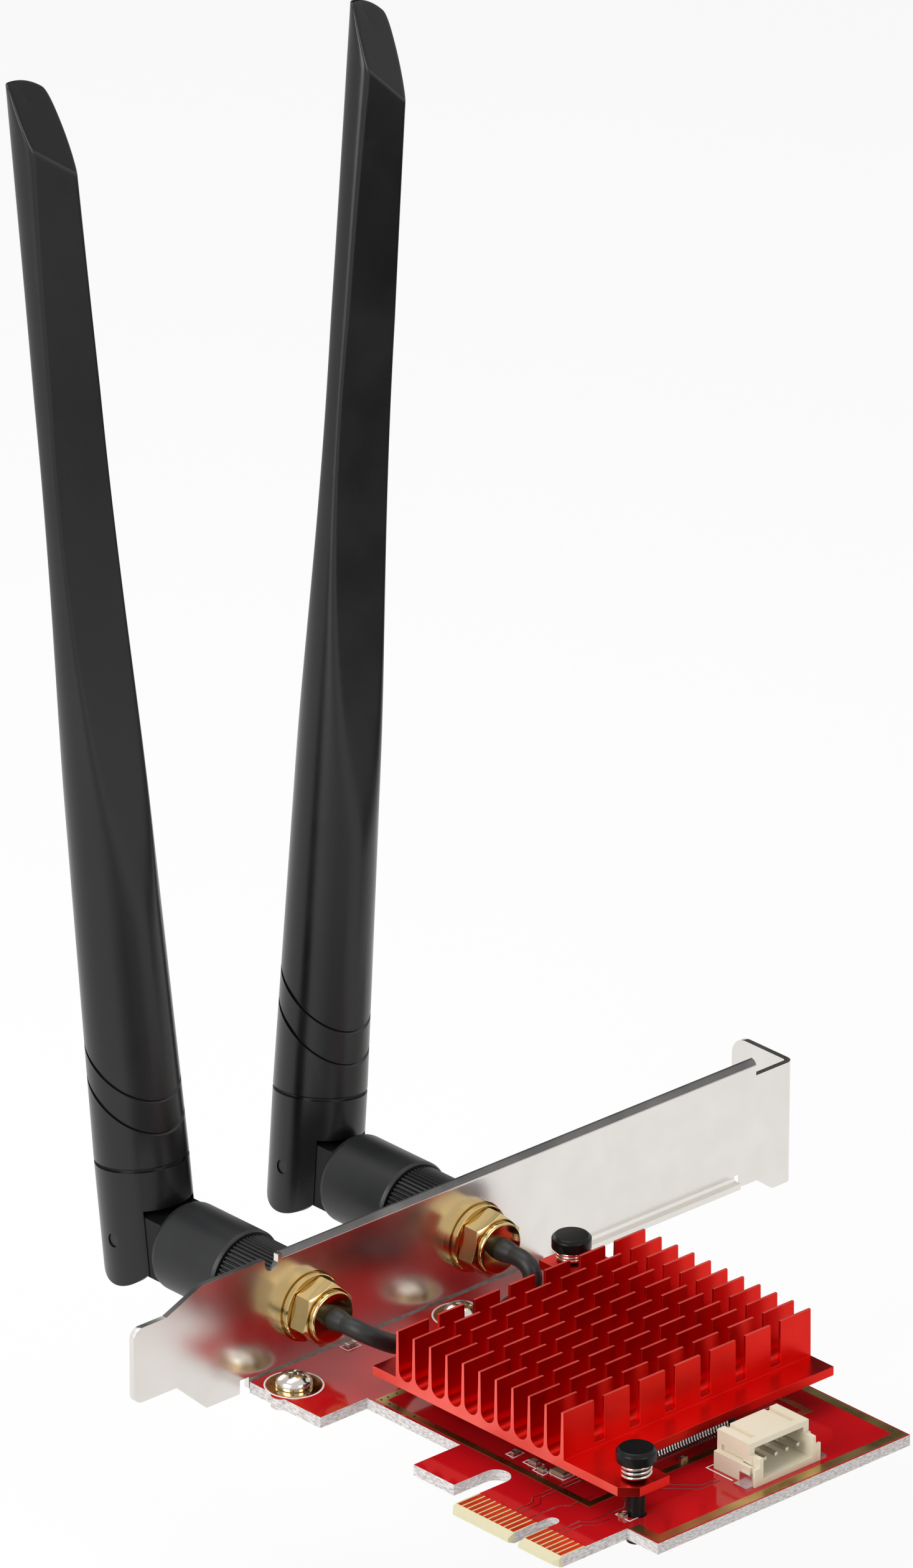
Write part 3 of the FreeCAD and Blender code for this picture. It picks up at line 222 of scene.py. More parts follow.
def makeFineGrain():
    # small even bumps, as on moulded plastic and blasted metal
    group, enter, leave = newGroup(
        "fineGrain",
        (("Vector", "NodeSocketVector", None), ("Scale", "NodeSocketFloat", 2000.0),
         ("Detail", "NodeSocketFloat", 2.0)),
        (("Height", "NodeSocketFloat"),),
    )
    noise = group.nodes.new("ShaderNodeTexNoise")
    for label in ("Vector", "Scale", "Detail"):
        group.links.new(enter.outputs[label], noise.inputs[label])
    group.links.new(noise.outputs["Fac"], leave.inputs["Height"])
    return group


def makeSmudges():
    # soft patches that lift and lower a value, as handling and cleaning leave
    group, enter, leave = newGroup(
        "smudges",
        (("Vector", "NodeSocketVector", None), ("Scale", "NodeSocketFloat", 120.0),
         ("Low", "NodeSocketFloat", 0.2), ("High", "NodeSocketFloat", 0.3)),
        (("Value", "NodeSocketFloat"), ("Mask", "NodeSocketFloat")),
    )
    noise = group.nodes.new("ShaderNodeTexNoise")
    noise.inputs["Detail"].default_value = 4.0
    for label in ("Vector", "Scale"):
        group.links.new(enter.outputs[label], noise.inputs[label])
    spread, clear = (group.nodes.new("ShaderNodeMapRange") for _ in range(2))
    for reach in (spread, clear):
        reach.inputs["From Min"].default_value = 0.3
        reach.inputs["From Max"].default_value = 0.7
        group.links.new(noise.outputs["Fac"], reach.inputs["Value"])
    group.links.new(enter.outputs["Low"], spread.inputs["To Min"])
    group.links.new(enter.outputs["High"], spread.inputs["To Max"])
    group.links.new(spread.outputs["Result"], leave.inputs["Value"])
    group.links.new(clear.outputs["Result"], leave.inputs["Mask"])
    return group


def makeDrawnLines():
    # long fine streaks, as drawing, rolling or extruding leaves in metal
    group, enter, leave = newGroup(
        "drawnLines",
        (("Vector", "NodeSocketVector", None), ("Stretch", "NodeSocketVector", (20.0, 2000.0, 2000.0))),
        (("Height", "NodeSocketFloat"),),
    )
    scale = group.nodes.new("ShaderNodeVectorMath")
    scale.operation = "MULTIPLY"
    noise = group.nodes.new("ShaderNodeTexNoise")
    noise.inputs["Scale"].default_value = 1.0
    noise.inputs["Detail"].default_value = 3.0
    group.links.new(enter.outputs["Vector"], scale.inputs[0])
    group.links.new(enter.outputs["Stretch"], scale.inputs[1])
    group.links.new(scale.outputs["Vector"], noise.inputs["Vector"])
    group.links.new(noise.outputs["Fac"], leave.inputs["Height"])
    return group


fineGrain = makeFineGrain()
smudges = makeSmudges()
drawnLines = makeDrawnLines()
print("shader groups built")


# finishes

class Finish:
    def __init__(self, name, **sockets):
        self.material = bpy.data.materials.new(name)
        self.material.use_nodes = True
        self.tree = self.material.node_tree
        self.shader = next(node for node in self.tree.nodes if node.type == "BSDF_PRINCIPLED")
        self.place = self.tree.nodes.new("ShaderNodeTexCoord").outputs["Object"]
        for label, value in sockets.items():
            self.shader.inputs[label.replace("_", " ")].default_value = value

    def node(self, kind, **values):
        made = self.tree.nodes.new(kind)
        for label, value in values.items():
            setattr(made, label, value)
        return made

    def link(self, source, target):
        self.tree.links.new(source, target)

    def group(self, tree, **values):
        made = self.tree.nodes.new("ShaderNodeGroup")
        made.node_tree = tree
        for label, value in values.items():
            made.inputs[label].default_value = value
        self.link(self.place, made.inputs["Vector"])
        return made

    def bump(self, height, strength, distance):
        made = self.node("ShaderNodeBump")
        made.inputs["Strength"].default_value = strength
        made.inputs["Distance"].default_value = distance
        self.link(height, made.inputs["Height"])
        self.link(made.outputs["Normal"], self.shader.inputs["Normal"])

    def mixColour(self, factor, low, high):
        made = self.node("ShaderNodeMix", data_type="RGBA")
        for socket, value in ((made.inputs[6], low), (made.inputs[7], high)):
            if isinstance(value, tuple):
                socket.default_value = (*value, 1)
            else:
                self.link(value, socket)
        self.link(factor, made.inputs[0])
        return made.outputs[2]

    def maths(self, operation, first, second):
        made = self.node("ShaderNodeMath", operation=operation)
        for socket, value in zip(made.inputs, (first, second)):
            if isinstance(value, (int, float)):
                socket.default_value = value
            else:
                self.link(value, socket)
        return made.outputs[0]

    def span(self, value, low, high):
        # 1 where a value lies between two limits
        above = self.maths("GREATER_THAN", value, low)
        below = self.maths("LESS_THAN", value, high)
        return self.maths("MULTIPLY", above, below)


def patchyRough(finish, scale, low, high):
    rough = finish.group(smudges, Scale=scale, Low=low, High=high)
    finish.link(rough.outputs["Value"], finish.shader.inputs["Roughness"])
    return rough


patchScale = {"plastic": 90.0, "metal": 140.0}
bumpHeight = {"plastic": 0.00005, "metal": 0.00003, "board": 0.0001}


def plasticFinish(name, dark, pale, rough, grain, specular=0.5):
    finish = Finish(name, Specular_IOR_Level=specular)
    marks = patchyRough(finish, patchScale["plastic"], *rough)
    finish.link(finish.mixColour(marks.outputs["Mask"], dark, pale), finish.shader.inputs["Base Color"])
    scale, strength = grain
    bumps = finish.group(fineGrain, Scale=scale, Detail=2.0)
    finish.bump(bumps.outputs["Height"], strength, bumpHeight["plastic"])
    return finish.material


def metalFinish(name, dark, pale, rough, stretch, strength, metallic=1.0):
    finish = Finish(name, Metallic=metallic)
    marks = patchyRough(finish, patchScale["metal"], *rough)
    finish.link(finish.mixColour(marks.outputs["Mask"], dark, pale), finish.shader.inputs["Base Color"])
    lines = finish.group(drawnLines, Stretch=stretch)
    finish.bump(lines.outputs["Height"], strength, bumpHeight["metal"])
    return finish.material


boardLook = {
    "mask": (0.46, 0.006, 0.009), "maskDeep": (0.36, 0.004, 0.007),
    "glass": (0.62, 0.59, 0.58), "glassDark": (0.38, 0.35, 0.34),
    "bare": (0.52, 0.47, 0.27), "bareEdge": (0.56, 0.52, 0.34),
    "maskStart": 5.25 * mm, "tongueNear": -8.2 * mm, "tongueFar": 12.2 * mm, "noseReach": 1.2 * mm,
    "faceLimit": 0.97, "weave": 0.5,
}


def boardFinish():
    # red mask on both faces, bare resin on the tongue, cut glass fibre round the edges
    finish = Finish("boardMask")
    axes = finish.node("ShaderNodeSeparateXYZ")
    finish.link(finish.place, axes.inputs[0])
    coords = finish.node("ShaderNodeTexCoord")
    facing = finish.node("ShaderNodeSeparateXYZ")
    finish.link(coords.outputs["Normal"], facing.inputs[0])
    upright = finish.maths("ABSOLUTE", facing.outputs["Z"], 0)
    flat = finish.maths("GREATER_THAN", upright, boardLook["faceLimit"])
    beside = finish.span(axes.outputs["Y"], boardLook["tongueNear"], boardLook["tongueFar"])
    onTongue, nose = (
        finish.maths("MULTIPLY", finish.maths("LESS_THAN", axes.outputs["X"], boardLook[key]), beside)
        for key in ("maskStart", "noseReach")
    )
    clouds = finish.group(smudges, Scale=60.0, Low=0.05, High=0.1)
    fibres = finish.group(drawnLines, Stretch=(1500.0, 1500.0, 5200.0))
    weave = finish.group(fineGrain, Scale=2600.0, Detail=3.0)
    red = finish.mixColour(clouds.outputs["Mask"], boardLook["maskDeep"], boardLook["mask"])
    threads = finish.node("ShaderNodeMapRange")
    threads.inputs["From Min"].default_value = 0.38
    threads.inputs["From Max"].default_value = 0.6
    finish.link(fibres.outputs["Height"], threads.inputs["Value"])
    cut = finish.mixColour(threads.outputs["Result"], boardLook["glassDark"], boardLook["glass"])
    cutOrBare = finish.mixColour(nose, cut, boardLook["bareEdge"])
    faceColour = finish.mixColour(onTongue, red, boardLook["bare"])
    finish.link(finish.mixColour(flat, cutOrBare, faceColour), finish.shader.inputs["Base Color"])
    masked = finish.maths("MULTIPLY", flat, finish.maths("SUBTRACT", 1.0, onTongue))
    dull = finish.node("ShaderNodeMapRange")
    dull.inputs["To Min"].default_value = 0.62
    dull.inputs["To Max"].default_value = 0.09
    finish.link(masked, dull.inputs["Value"])
    finish.link(dull.outputs["Result"], finish.shader.inputs["Roughness"])
    rough = finish.maths("SUBTRACT", 1.0, masked)
    height = finish.maths("MULTIPLY", weave.outputs["Height"], rough)
    finish.bump(height, boardLook["weave"], bumpHeight["board"])
    return finish.material


# name, dark and pale colour, range of roughness, stretch and strength of the drawn lines, metallic
metals = {
    "gold": ("goldPlate", (0.50, 0.36, 0.15), (0.60, 0.45, 0.21), (0.1, 0.15),
             (900.0, 900.0, 900.0), 0.08),
    "fingers": ("contactGold", (0.80, 0.155, 0.03), (0.88, 0.2, 0.05), (0.24, 0.32),
                (60.0, 2500.0, 900.0), 0.12),
    "bareStrip": ("bareCopper", (0.48, 0.32, 0.11), (0.64, 0.47, 0.19), (0.24, 0.34),
                  (700.0, 700.0, 700.0), 0.15),
    "steel": ("satinSteel", (0.74, 0.71, 0.67), (0.80, 0.77, 0.73), (0.22, 0.27),
              (700.0, 700.0, 700.0), 0.1),
    # painted highlight: paler, smoother steel for the bevels along the bracket's edges
    "steelEdgeHighlight": ("steelEdgeHighlight", (0.85, 0.84, 0.82), (0.92, 0.91, 0.9), (0.16, 0.2),
                  (700.0, 700.0, 700.0), 0.05),
    # painted dark reflection: near-black steel for the bracket's upward faces along its top edge
    "topReflectionDark": ("steelTopReflectionDark", (0.10, 0.097, 0.094), (0.17, 0.165, 0.16), (0.34, 0.42),
                (700.0, 700.0, 4000.0), 0.2),
    "nickel": ("nickelPlate", (0.50, 0.47, 0.43), (0.62, 0.59, 0.55), (0.1, 0.16),
               (900.0, 900.0, 900.0), 0.06),
    "tin": ("tinnedLead", (0.55, 0.55, 0.54), (0.72, 0.72, 0.7), (0.2, 0.32),
            (1200.0, 1200.0, 1200.0), 0.12),
    "copper": ("copperTube", (0.60, 0.30, 0.16), (0.72, 0.40, 0.24), (0.2, 0.3),
               (900.0, 900.0, 60.0), 0.12),
    "cooler": ("redAnodised", (0.64, 0.013, 0.009), (0.72, 0.019, 0.012), (0.27, 0.34),
               (14.0, 2600.0, 2600.0), 0.2),
    # painted highlight: lighter red for the cooler's end faces, fin tops and bevels
    "coolerCutHighlight": ("redEdgeHighlight", (0.72, 0.07, 0.05), (0.80, 0.1, 0.075), (0.28, 0.36),
                  (900.0, 900.0, 900.0), 0.1, 0.45),
}
# name, dark and pale colour, range of roughness, scale and strength of the grain, specular
plastics = {
    "antenna": ("antennaPlastic", (0.0026, 0.0028, 0.0032), (0.0036, 0.0038, 0.0043), (0.24, 0.3),
                (2600.0, 0.06), 0.44),
    "barrel": ("barrelPlastic", (0.006, 0.0063, 0.007), (0.009, 0.0095, 0.0103), (0.38, 0.45),
               (2600.0, 0.1), 0.37),
    "knurl": ("knurlPlastic", (0.006, 0.006, 0.0065), (0.009, 0.009, 0.0095), (0.34, 0.42),
              (2600.0, 0.08)),
    "cap": ("capPlastic", (0.005, 0.005, 0.005), (0.008, 0.0077, 0.0073), (0.2, 0.28),
            (2200.0, 0.1), 0.15),
    "ivory": ("ivoryNylon", (0.66, 0.60, 0.46), (0.71, 0.65, 0.51), (0.42, 0.5), (1500.0, 0.08)),
    "cable": ("blackSleeving", (0.010, 0.0095, 0.009), (0.015, 0.0145, 0.014), (0.38, 0.48),
              (1800.0, 0.15), 0.3),
    "socket": ("socketPlastic", (0.01, 0.01, 0.01), (0.016, 0.016, 0.016), (0.4, 0.5), (2000.0, 0.1)),
    "ceramic": ("ceramicChip", (0.20, 0.14, 0.09), (0.30, 0.21, 0.13), (0.3, 0.42), (3000.0, 0.15)),
    # painted shade: near-black for the via holes
    "hole": ("viaHoleShade", (0.01, 0.006, 0.004), (0.02, 0.012, 0.008), (0.5, 0.6), (3000.0, 0.1)),
    "print": ("whitePrint", (0.74, 0.73, 0.71), (0.82, 0.81, 0.79), (0.45, 0.55), (3000.0, 0.2)),
    "trace": ("maskedTrace", (0.20, 0.004, 0.006), (0.25, 0.004, 0.007), (0.08, 0.12), (900.0, 0.02)),
    "module": ("moduleMask", (0.008, 0.05, 0.022), (0.012, 0.07, 0.03), (0.12, 0.2), (900.0, 0.05)),
    "pad": ("siliconePad", (0.28, 0.29, 0.31), (0.34, 0.35, 0.37), (0.6, 0.7), (1500.0, 0.2)),
    "insulator": ("whiteInsulator", (0.78, 0.78, 0.76), (0.84, 0.84, 0.82), (0.35, 0.45), (1500.0, 0.05)),
}
finishes = {"board": boardFinish()}
for key, values in metals.items():
    finishes[key] = metalFinish(*values)
for key, values in plastics.items():
    finishes[key] = plasticFinish(*values)

nodeFinish = {
    "bracket": "steel", "circuit_board": "board", "edge_contacts": "fingers", "board_screws": "nickel",
    "screw_pads": "gold", "heatsink": "cooler", "front_push_pin": "cap", "rear_push_pin": "cap",
    "front_pin_spring": "nickel", "rear_pin_spring": "nickel", "radio_module": "module",
    "module_shield": "tin", "thermal_pad": "pad", "module_socket": "socket", "module_socket_leads": "tin",
    "module_standoff": "gold", "module_screw": "nickel", "module_antenna_sockets": "gold",
    "header_shell": "ivory", "header_pins": "tin", "header_solder_tabs": "tin",
    "chip_bodies": "ceramic", "chip_terminals": "tin",
}
sideFinish = {
    "pigtail_plug": "gold", "pigtail": "cable", "pigtail_sleeve": "cable", "flat_washer": "gold",
    "lock_washer": "gold", "sma_jack": "gold", "jack_insulator": "insulator", "jack_contact": "gold",
    "jack_nut": "gold", "antenna_collar": "knurl", "swivel_barrel": "barrel", "plug_pin": "gold",
    "antenna_fork": "antenna", "hinge_pin": "antenna", "antenna_sleeve": "antenna", "radiator": "copper",
}
for side in ("left", "right"):
    for piece, finish in sideFinish.items():
        nodeFinish[f"{side}_{piece}"] = finish

for name, finish in nodeFinish.items():
    node = nodes[name]
    if not node.material_slots:
        node.data.materials.append(finishes[finish])
    for slot in node.material_slots:
        slot.material = finishes[finish]
print("finishes given to", len(nodeFinish), "nodes")


# mesh helpers

def smoothOver(mesh, angle):
    for face in mesh.polygons:
        face.use_smooth = True
    mesh.set_sharp_from_angle(angle=math.radians(angle))


def carry(piece, body, node=None):
    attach(piece, body)
    if node:
        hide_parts(node)
    return piece


def addPiece(name, mesh, body, node=None):
    piece = addObject(name, mesh)
    return carry(piece, body, node)


def evenNormals(piece):
    even = piece.modifiers.new("even", "WEIGHTED_NORMAL")
    even.keep_sharp = True


def roundEdges(work, width, steps, paint=0, angle=35):
    limit = math.radians(angle)
    sharp = [edge for edge in work.edges if edge.is_manifold and edge.calc_face_angle(0) > limit]
    bmesh.ops.bevel(work, geom=sharp, offset=width, segments=steps, profile=0.5, affect="EDGES",
                    clamp_overlap=True, material=paint)


def mergeFlats(work):
    # joins doubled corners and drops edges between faces in one plane
    bmesh.ops.remove_doubles(work, verts=work.verts, dist=1e-6)
    bmesh.ops.dissolve_limit(work, angle_limit=math.radians(0.5), verts=work.verts, edges=work.edges)


def arc(r, h, radius, start, end, steps=6):
    # points of a lathe section on a quarter round, angles in degrees
    angles = [math.radians(start + (end - start) * i / steps) for i in range(steps + 1)]
    return [(r + radius * math.cos(a), h + radius * math.sin(a)) for a in angles]


def ringVerts(work, place, r, h, angles):
    return [work.verts.new(place @ Vector((r * math.cos(a), r * math.sin(a), h))) for a in angles]


def lathe(work, section, place, steps=64, closed=False):
    # turns a section of (radius, height) in mm about the Z axis of a placement
    turn = 2 * math.pi / steps
    rings = []
    for r, h in section:
        angles = [i * turn for i in range(steps if r else 1)]
        rings.append(ringVerts(work, place, r, h, angles))
    pairs = list(zip(rings, rings[1:]))
    if closed:
        pairs.append((rings[-1], rings[0]))
    for low, high in pairs:
        for i in range(steps):
            corners = [low[i % len(low)], low[(i + 1) % len(low)],
                       high[(i + 1) % len(high)], high[i % len(high)]]
            unique = list(dict.fromkeys(corners))
            if len(unique) > 2:
                work.faces.new(unique)
    bmesh.ops.recalc_face_normals(work, faces=work.faces)


def block(work, left, near, low, right, far, high):
    size = Matrix.Diagonal((right - left, far - near, high - low, 1))
    middle = Matrix.Translation(((left + right) / 2, (near + far) / 2, (low + high) / 2))
    bmesh.ops.create_cube(work, size=1, matrix=Matrix.Scale(mm, 4) @ middle @ size)


def meshOf(name, build):
    mesh = bpy.data.meshes.new(name)
    work = bmesh.new()
    build(work)
    work.to_mesh(mesh)
    work.free()
    return mesh


def closeWork(work, name, angle, *names):
    # a finished mesh out of a working one
    mesh = bpy.data.meshes.new(name)
    work.to_mesh(mesh)
    work.free()
    paintMesh(mesh, *names)
    smoothOver(mesh, angle)
    return mesh


def carve(name, base, steps):
    # joins, cuts or meets a mesh with others in turn, each given as (operation, mesh)
    piece = addObject(name, base)
    tools = []
    for index, (operation, mesh) in enumerate(steps):
        tool = addObject(f"{name}Tool{index}", mesh)
        tools.append(tool)
        step = piece.modifiers.new(f"step{index}", "BOOLEAN")
        step.operation = operation
        step.solver = "EXACT"
        step.object = tool
    made = bpy.data.meshes.new_from_object(piece.evaluated_get(bpy.context.evaluated_depsgraph_get()))
    for thing in (piece, *tools):
        bpy.data.objects.remove(thing)
    made.name = name
    return made


def paintMesh(mesh, *names):
    if mesh.materials:
        mesh.materials.clear()
    for name in names:
        mesh.materials.append(finishes[name])


def runTree(name, mesh, tree, values):
    piece = addObject(name, mesh)
    modifier = piece.modifiers.new("build", "NODES")
    modifier.node_group = tree
    for item in tree.interface.items_tree:
        if item.in_out == "INPUT" and item.name in values:
            modifier[item.identifier] = values[item.name]
    made = bpy.data.meshes.new_from_object(piece.evaluated_get(bpy.context.evaluated_depsgraph_get()))
    made.name = name
    piece.modifiers.clear()
    piece.data = made
    return piece


# folded, cut and moulded pieces, with painted highlights and shade by face; short edges in their meshes limit
# the rounding

softened = {
    # the bracket: bevels take a painted highlight, upward faces of the top band a painted dark reflection
    "bracket": {"name": "bracketSheet", "width": 0.1, "finish": ("steel", "steelEdgeHighlight", "topReflectionDark"),
                "slot": "satin_steel", "body": "card", "topBand": 2.0},
    # the cooler: end faces, fin tops and bevels take the lighter red of a painted highlight
    "heatsink": {"name": "coolerBody", "width": 0.1, "finish": ("cooler", "coolerCutHighlight"),
                 "slot": "red_aluminium", "body": "card", "endAndTopReach": 0.1, "taper": 0.6, "root": 0.4},
}
for end in ("front", "rear"):
    softened[f"{end}_push_pin"] = {"name": f"{end}Pin", "width": 0.26, "finish": ("cap", "cap"),
                                   "slot": "gloss_black", "body": "card", "steps": 4}
for side in ("left", "right"):
    # the tongue beyond the drum takes the dark cap finish, painted shade where the fork hides it
    softened[f"{side}_swivel_barrel"] = {
        "name": f"{side}Barrel", "width": 0.3, "finish": ("barrel", "barrel", "cap"), "slot": "black_plastic",
        "body": f"{side}_barrel", "steps": 4, "angle": 25, "tongue": 80.9,
    }


def taperFins(work, low, high, look):
    # thins the cooler's fins towards their tops
    tops = [face for face in work.faces
            if face.normal.z > 0.99 and high.z - face.calc_center_median().z < look["endAndTopReach"] * mm]
    lines = {round(face.calc_center_median().y, 6) for face in tops}
    root = low.z + (high.z - low.z) * look["root"]
    for vert in work.verts:
        line = min(lines, key=lambda y: abs(y - vert.co.y))
        rise = max((vert.co.z - root) / (high.z - root), 0)
        vert.co.y = line + (vert.co.y - line) * (1 - (1 - look["taper"]) * rise)
    work.normal_update()


def softenEdges(node, look):
    source = nodes[node].data
    faces = [tuple(face.vertices) for face in source.polygons]
    mesh = rawMesh("solidCopy", [vert.co for vert in source.vertices], [], faces)
    work = bmesh.new()
    work.from_mesh(mesh)
    mergeFlats(work)
    low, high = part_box(node)
    if look.get("taper"):
        taperFins(work, low, high, look)
    for face in work.faces:
        middle = face.calc_center_median()
        # end faces and fin tops take the second finish, a painted highlight
        if look.get("endAndTopReach"):
            end = min(middle.x - low.x, high.x - middle.x) < look["endAndTopReach"] * mm
            top = high.z - middle.z < look["endAndTopReach"] * mm
            face.material_index = int((end and abs(face.normal.x) > 0.99) or (top and face.normal.z > 0.99))
        # barrel faces past the drum end take the dark cap finish as painted shade
        if look.get("tongue") and middle.y > look["tongue"] * mm:
            face.material_index = 2
        # upward faces in the top band take the third finish, a painted dark reflection on the bracket
        if look.get("topBand") and face.normal.z > 0.3 and high.z - middle.z < look["topBand"] * mm:
            face.material_index = 2
    # bevel faces take the second finish, a painted highlight on the bracket and the cooler
    roundEdges(work, look["width"] * mm, look.get("steps", 2), paint=1, angle=look.get("angle", 35))
    made = closeWork(work, look["name"], 40, *look["finish"])
    bpy.data.meshes.remove(mesh)
    evenNormals(addPiece(look["name"], made, look["body"], node))


for node, look in softened.items():
    softenEdges(node, look)
print("edges softened on", ", ".join(softened))


# pan-head screws

screws = {
    "places": ((8.2, 51.6), (38.6, 51.6)), "seat": 0.84, "foot": -2.05, "head": 2.5, "rim": 0.4, "rise": 1.4,
    "shank": 1.45, "tipCut": 0.3, "edge": 0.1, "round": 0.05,
    "crossLong": 2.7, "crossWide": 0.62, "crossDeep": 1.0, "crossOver": 0.5, "turn": 24,
}


def screwMesh(x, y):
    place = Matrix.Scale(mm, 4) @ Matrix.Translation((x, y, 0))
    seat, rim, head, foot, shank, tipCut, edge, rise = (
        screws[key] for key in ("seat", "rim", "head", "foot", "shank", "tipCut", "edge", "rise"))
    dome = [(head * math.cos(math.radians(a)), seat + rim + rise * math.sin(math.radians(a)))
            for a in range(0, 90, 6)]
    top = seat + rim + rise
    section = [(0, foot), (shank - tipCut, foot), (shank, foot + tipCut), (shank, seat), (head - edge, seat),
               (head, seat + edge), *dome, (0, top)]
    blank = meshOf("screwBlank", lambda work: lathe(work, section, place))
    cutters = []
    for turn in (screws["turn"], screws["turn"] + 90):
        def wing(work):
            half, wide = screws["crossLong"] / 2, screws["crossWide"] / 2
            block(work, -half, -wide, top - screws["crossDeep"], half, wide, top + screws["crossOver"])
            spin = Matrix.Rotation(math.radians(turn), 4, "Z")
            bmesh.ops.transform(work, verts=work.verts, matrix=Matrix.Translation((x * mm, y * mm, 0)) @ spin)
        cutters.append(("DIFFERENCE", meshOf("screwWing", wing)))
    return carve("screwHead", blank, cutters)


def makeScrews():
    work = bmesh.new()
    for x, y in screws["places"]:
        work.from_mesh(screwMesh(x, y))
    roundEdges(work, screws["round"] * mm, 2, angle=45)
    mesh = closeWork(work, "panScrews", 35, "nickel")
    evenNormals(addPiece("panScrews", mesh, "card", "board_screws"))


makeScrews()
print("screws made")


# coaxial sockets with a chamfered hexagon, a split washer behind each

jacks = {
    "left": 14.4, "right": 44.9, "high": 9.0, "rear": 50.6, "hexNear": 51.5, "hexFar": 54.6, "end": 64.65,
    "across": 8.0, "turn": -14, "chamfer": 0.4, "hexRound": 0.08, "flatIn": 0.08, "over": 0.01,
    "rim": 3.7, "rimStep": 0.15, "neck": 0.25,
    "core": 0.3, "thread": 3.175, "endCut": 0.3, "bore": 2.1, "round": 0.35, "throat": 1.63, "lip": 1.2,
    "splitOut": 4.8, "splitIn": 3.3, "splitNear": 54.62, "splitFar": 55.58, "splitEdge": 0.12,
    "splitGap": 7, "splitPlace": 62, "splitLean": 9,
}


def jackPlace(side):
    # Z of the section runs along +Y from the board side outwards
    upright = Matrix.Rotation(math.radians(-90), 4, "X")
    return Matrix.Scale(mm, 4) @ Matrix.Translation((jacks[side], 0, jacks["high"])) @ upright


def jackMesh(side):
    place = jackPlace(side)
    rear, rim, near, far = jacks["rear"], jacks["rim"], jacks["hexNear"], jacks["hexFar"]
    thread, bore, throat, end = (jacks[key] for key in ("thread", "bore", "throat", "end"))
    body = [
        (throat, rear), *arc(rim - jacks["round"], rear + jacks["round"], jacks["round"], -90, 0),
        (rim, near - jacks["rimStep"]), (rim - jacks["neck"], near), (rim - jacks["core"], far),
        (thread, far), (thread, end - jacks["endCut"]), (thread - jacks["endCut"], end), (bore, end),
        (bore, rear + jacks["lip"]), (throat, rear + jacks["lip"]),
    ]
    corner = jacks["across"] / 2 / math.cos(math.radians(30))

    def prism(work):
        angles = [math.radians(60 * i + 30 - jacks["turn"]) for i in range(6)]
        rings = [ringVerts(work, place, corner, h, angles) for h in (near, far)]
        work.faces.new(rings[0])
        work.faces.new(rings[1])
        for i in range(6):
            work.faces.new((rings[0][i], rings[0][(i + 1) % 6], rings[1][(i + 1) % 6], rings[1][i]))
        bmesh.ops.recalc_face_normals(work, faces=work.faces)

    lean, over = jacks["chamfer"], jacks["over"]
    flat = jacks["across"] / 2 - jacks["flatIn"]
    spindle = [(0, near - over), (flat, near - over), (flat + 2 * lean, near + lean),
               (flat + 2 * lean, far - lean), (flat, far + over), (0, far + over)]
    hole = [(0, near - 1), (bore, near - 1), (bore, far + 1), (0, far + 1)]
    drive = carve("jackHex", meshOf("jackPrism", prism), (
        ("INTERSECT", meshOf("jackSpindle", lambda work: lathe(work, spindle, place, steps=96))),
        ("DIFFERENCE", meshOf("jackHole", lambda work: lathe(work, hole, place))),
    ))
    work = bmesh.new()
    work.from_mesh(drive)
    roundEdges(work, jacks["hexRound"] * mm, 2, angle=20)
    lathe(work, body, place, closed=True)
    return closeWork(work, f"{side}JackBody", 30, "gold")


def splitMesh(side):
    # a coil washer with a slanted gap
    place = jackPlace(side)
    near, far, inner, outer, edge = (
        jacks[key] for key in ("splitNear", "splitFar", "splitIn", "splitOut", "splitEdge"))
    section = [(inner, near), (outer - edge, near), (outer, near + edge), (outer, far - edge),
               (outer - edge, far), (inner, far)]
    start = jacks["splitPlace"] + jacks["splitGap"] / 2
    sweep = 360 - jacks["splitGap"]
    steps = 72

    def coil(work):
        rows = []
        for i in range(steps + 1):
            row = []
            for r, h in section:
                lean = jacks["splitLean"] * ((h - near) / (far - near) - 0.5)
                a = math.radians(start + lean + sweep * i / steps)
                row.append(work.verts.new(place @ Vector((r * math.cos(a), r * math.sin(a), h))))
            rows.append(row)
        count = len(section)
        for low, high in zip(rows, rows[1:]):
            for i in range(count):
                work.faces.new((low[i], low[(i + 1) % count], high[(i + 1) % count], high[i]))
        work.faces.new(rows[0])
        work.faces.new(rows[-1])
        bmesh.ops.recalc_face_normals(work, faces=work.faces)

    mesh = meshOf(f"{side}SplitWasher", coil)
    paintMesh(mesh, "gold")
    smoothOver(mesh, 30)
    return mesh


cuffs = {
    "section": [(0, 48.2), (1.28, 48.2), (1.36, 48.5), (1.48, 49.1), (1.57, 49.7), (1.6, 50.2), (1.6, 53.0),
                (0, 53.0)],
}


def cuffMesh(side):
    # shrunk tube that narrows down to the cable
    mesh = meshOf(f"{side}Cuff", lambda work: lathe(work, cuffs["section"], jackPlace(side)))
    paintMesh(mesh, "cable")
    smoothOver(mesh, 50)
    return mesh


for side in ("left", "right"):
    addPiece(f"{side}Cuff", cuffMesh(side), "card", f"{side}_pigtail_sleeve")
    evenNormals(addPiece(f"{side}JackBody", jackMesh(side), "card", f"{side}_sma_jack"))
    addPiece(f"{side}SplitWasher", splitMesh(side), "card", f"{side}_lock_washer")
print("coaxial sockets made")


# antenna sleeves, round at the foot, flattened higher up and cut off at a slant

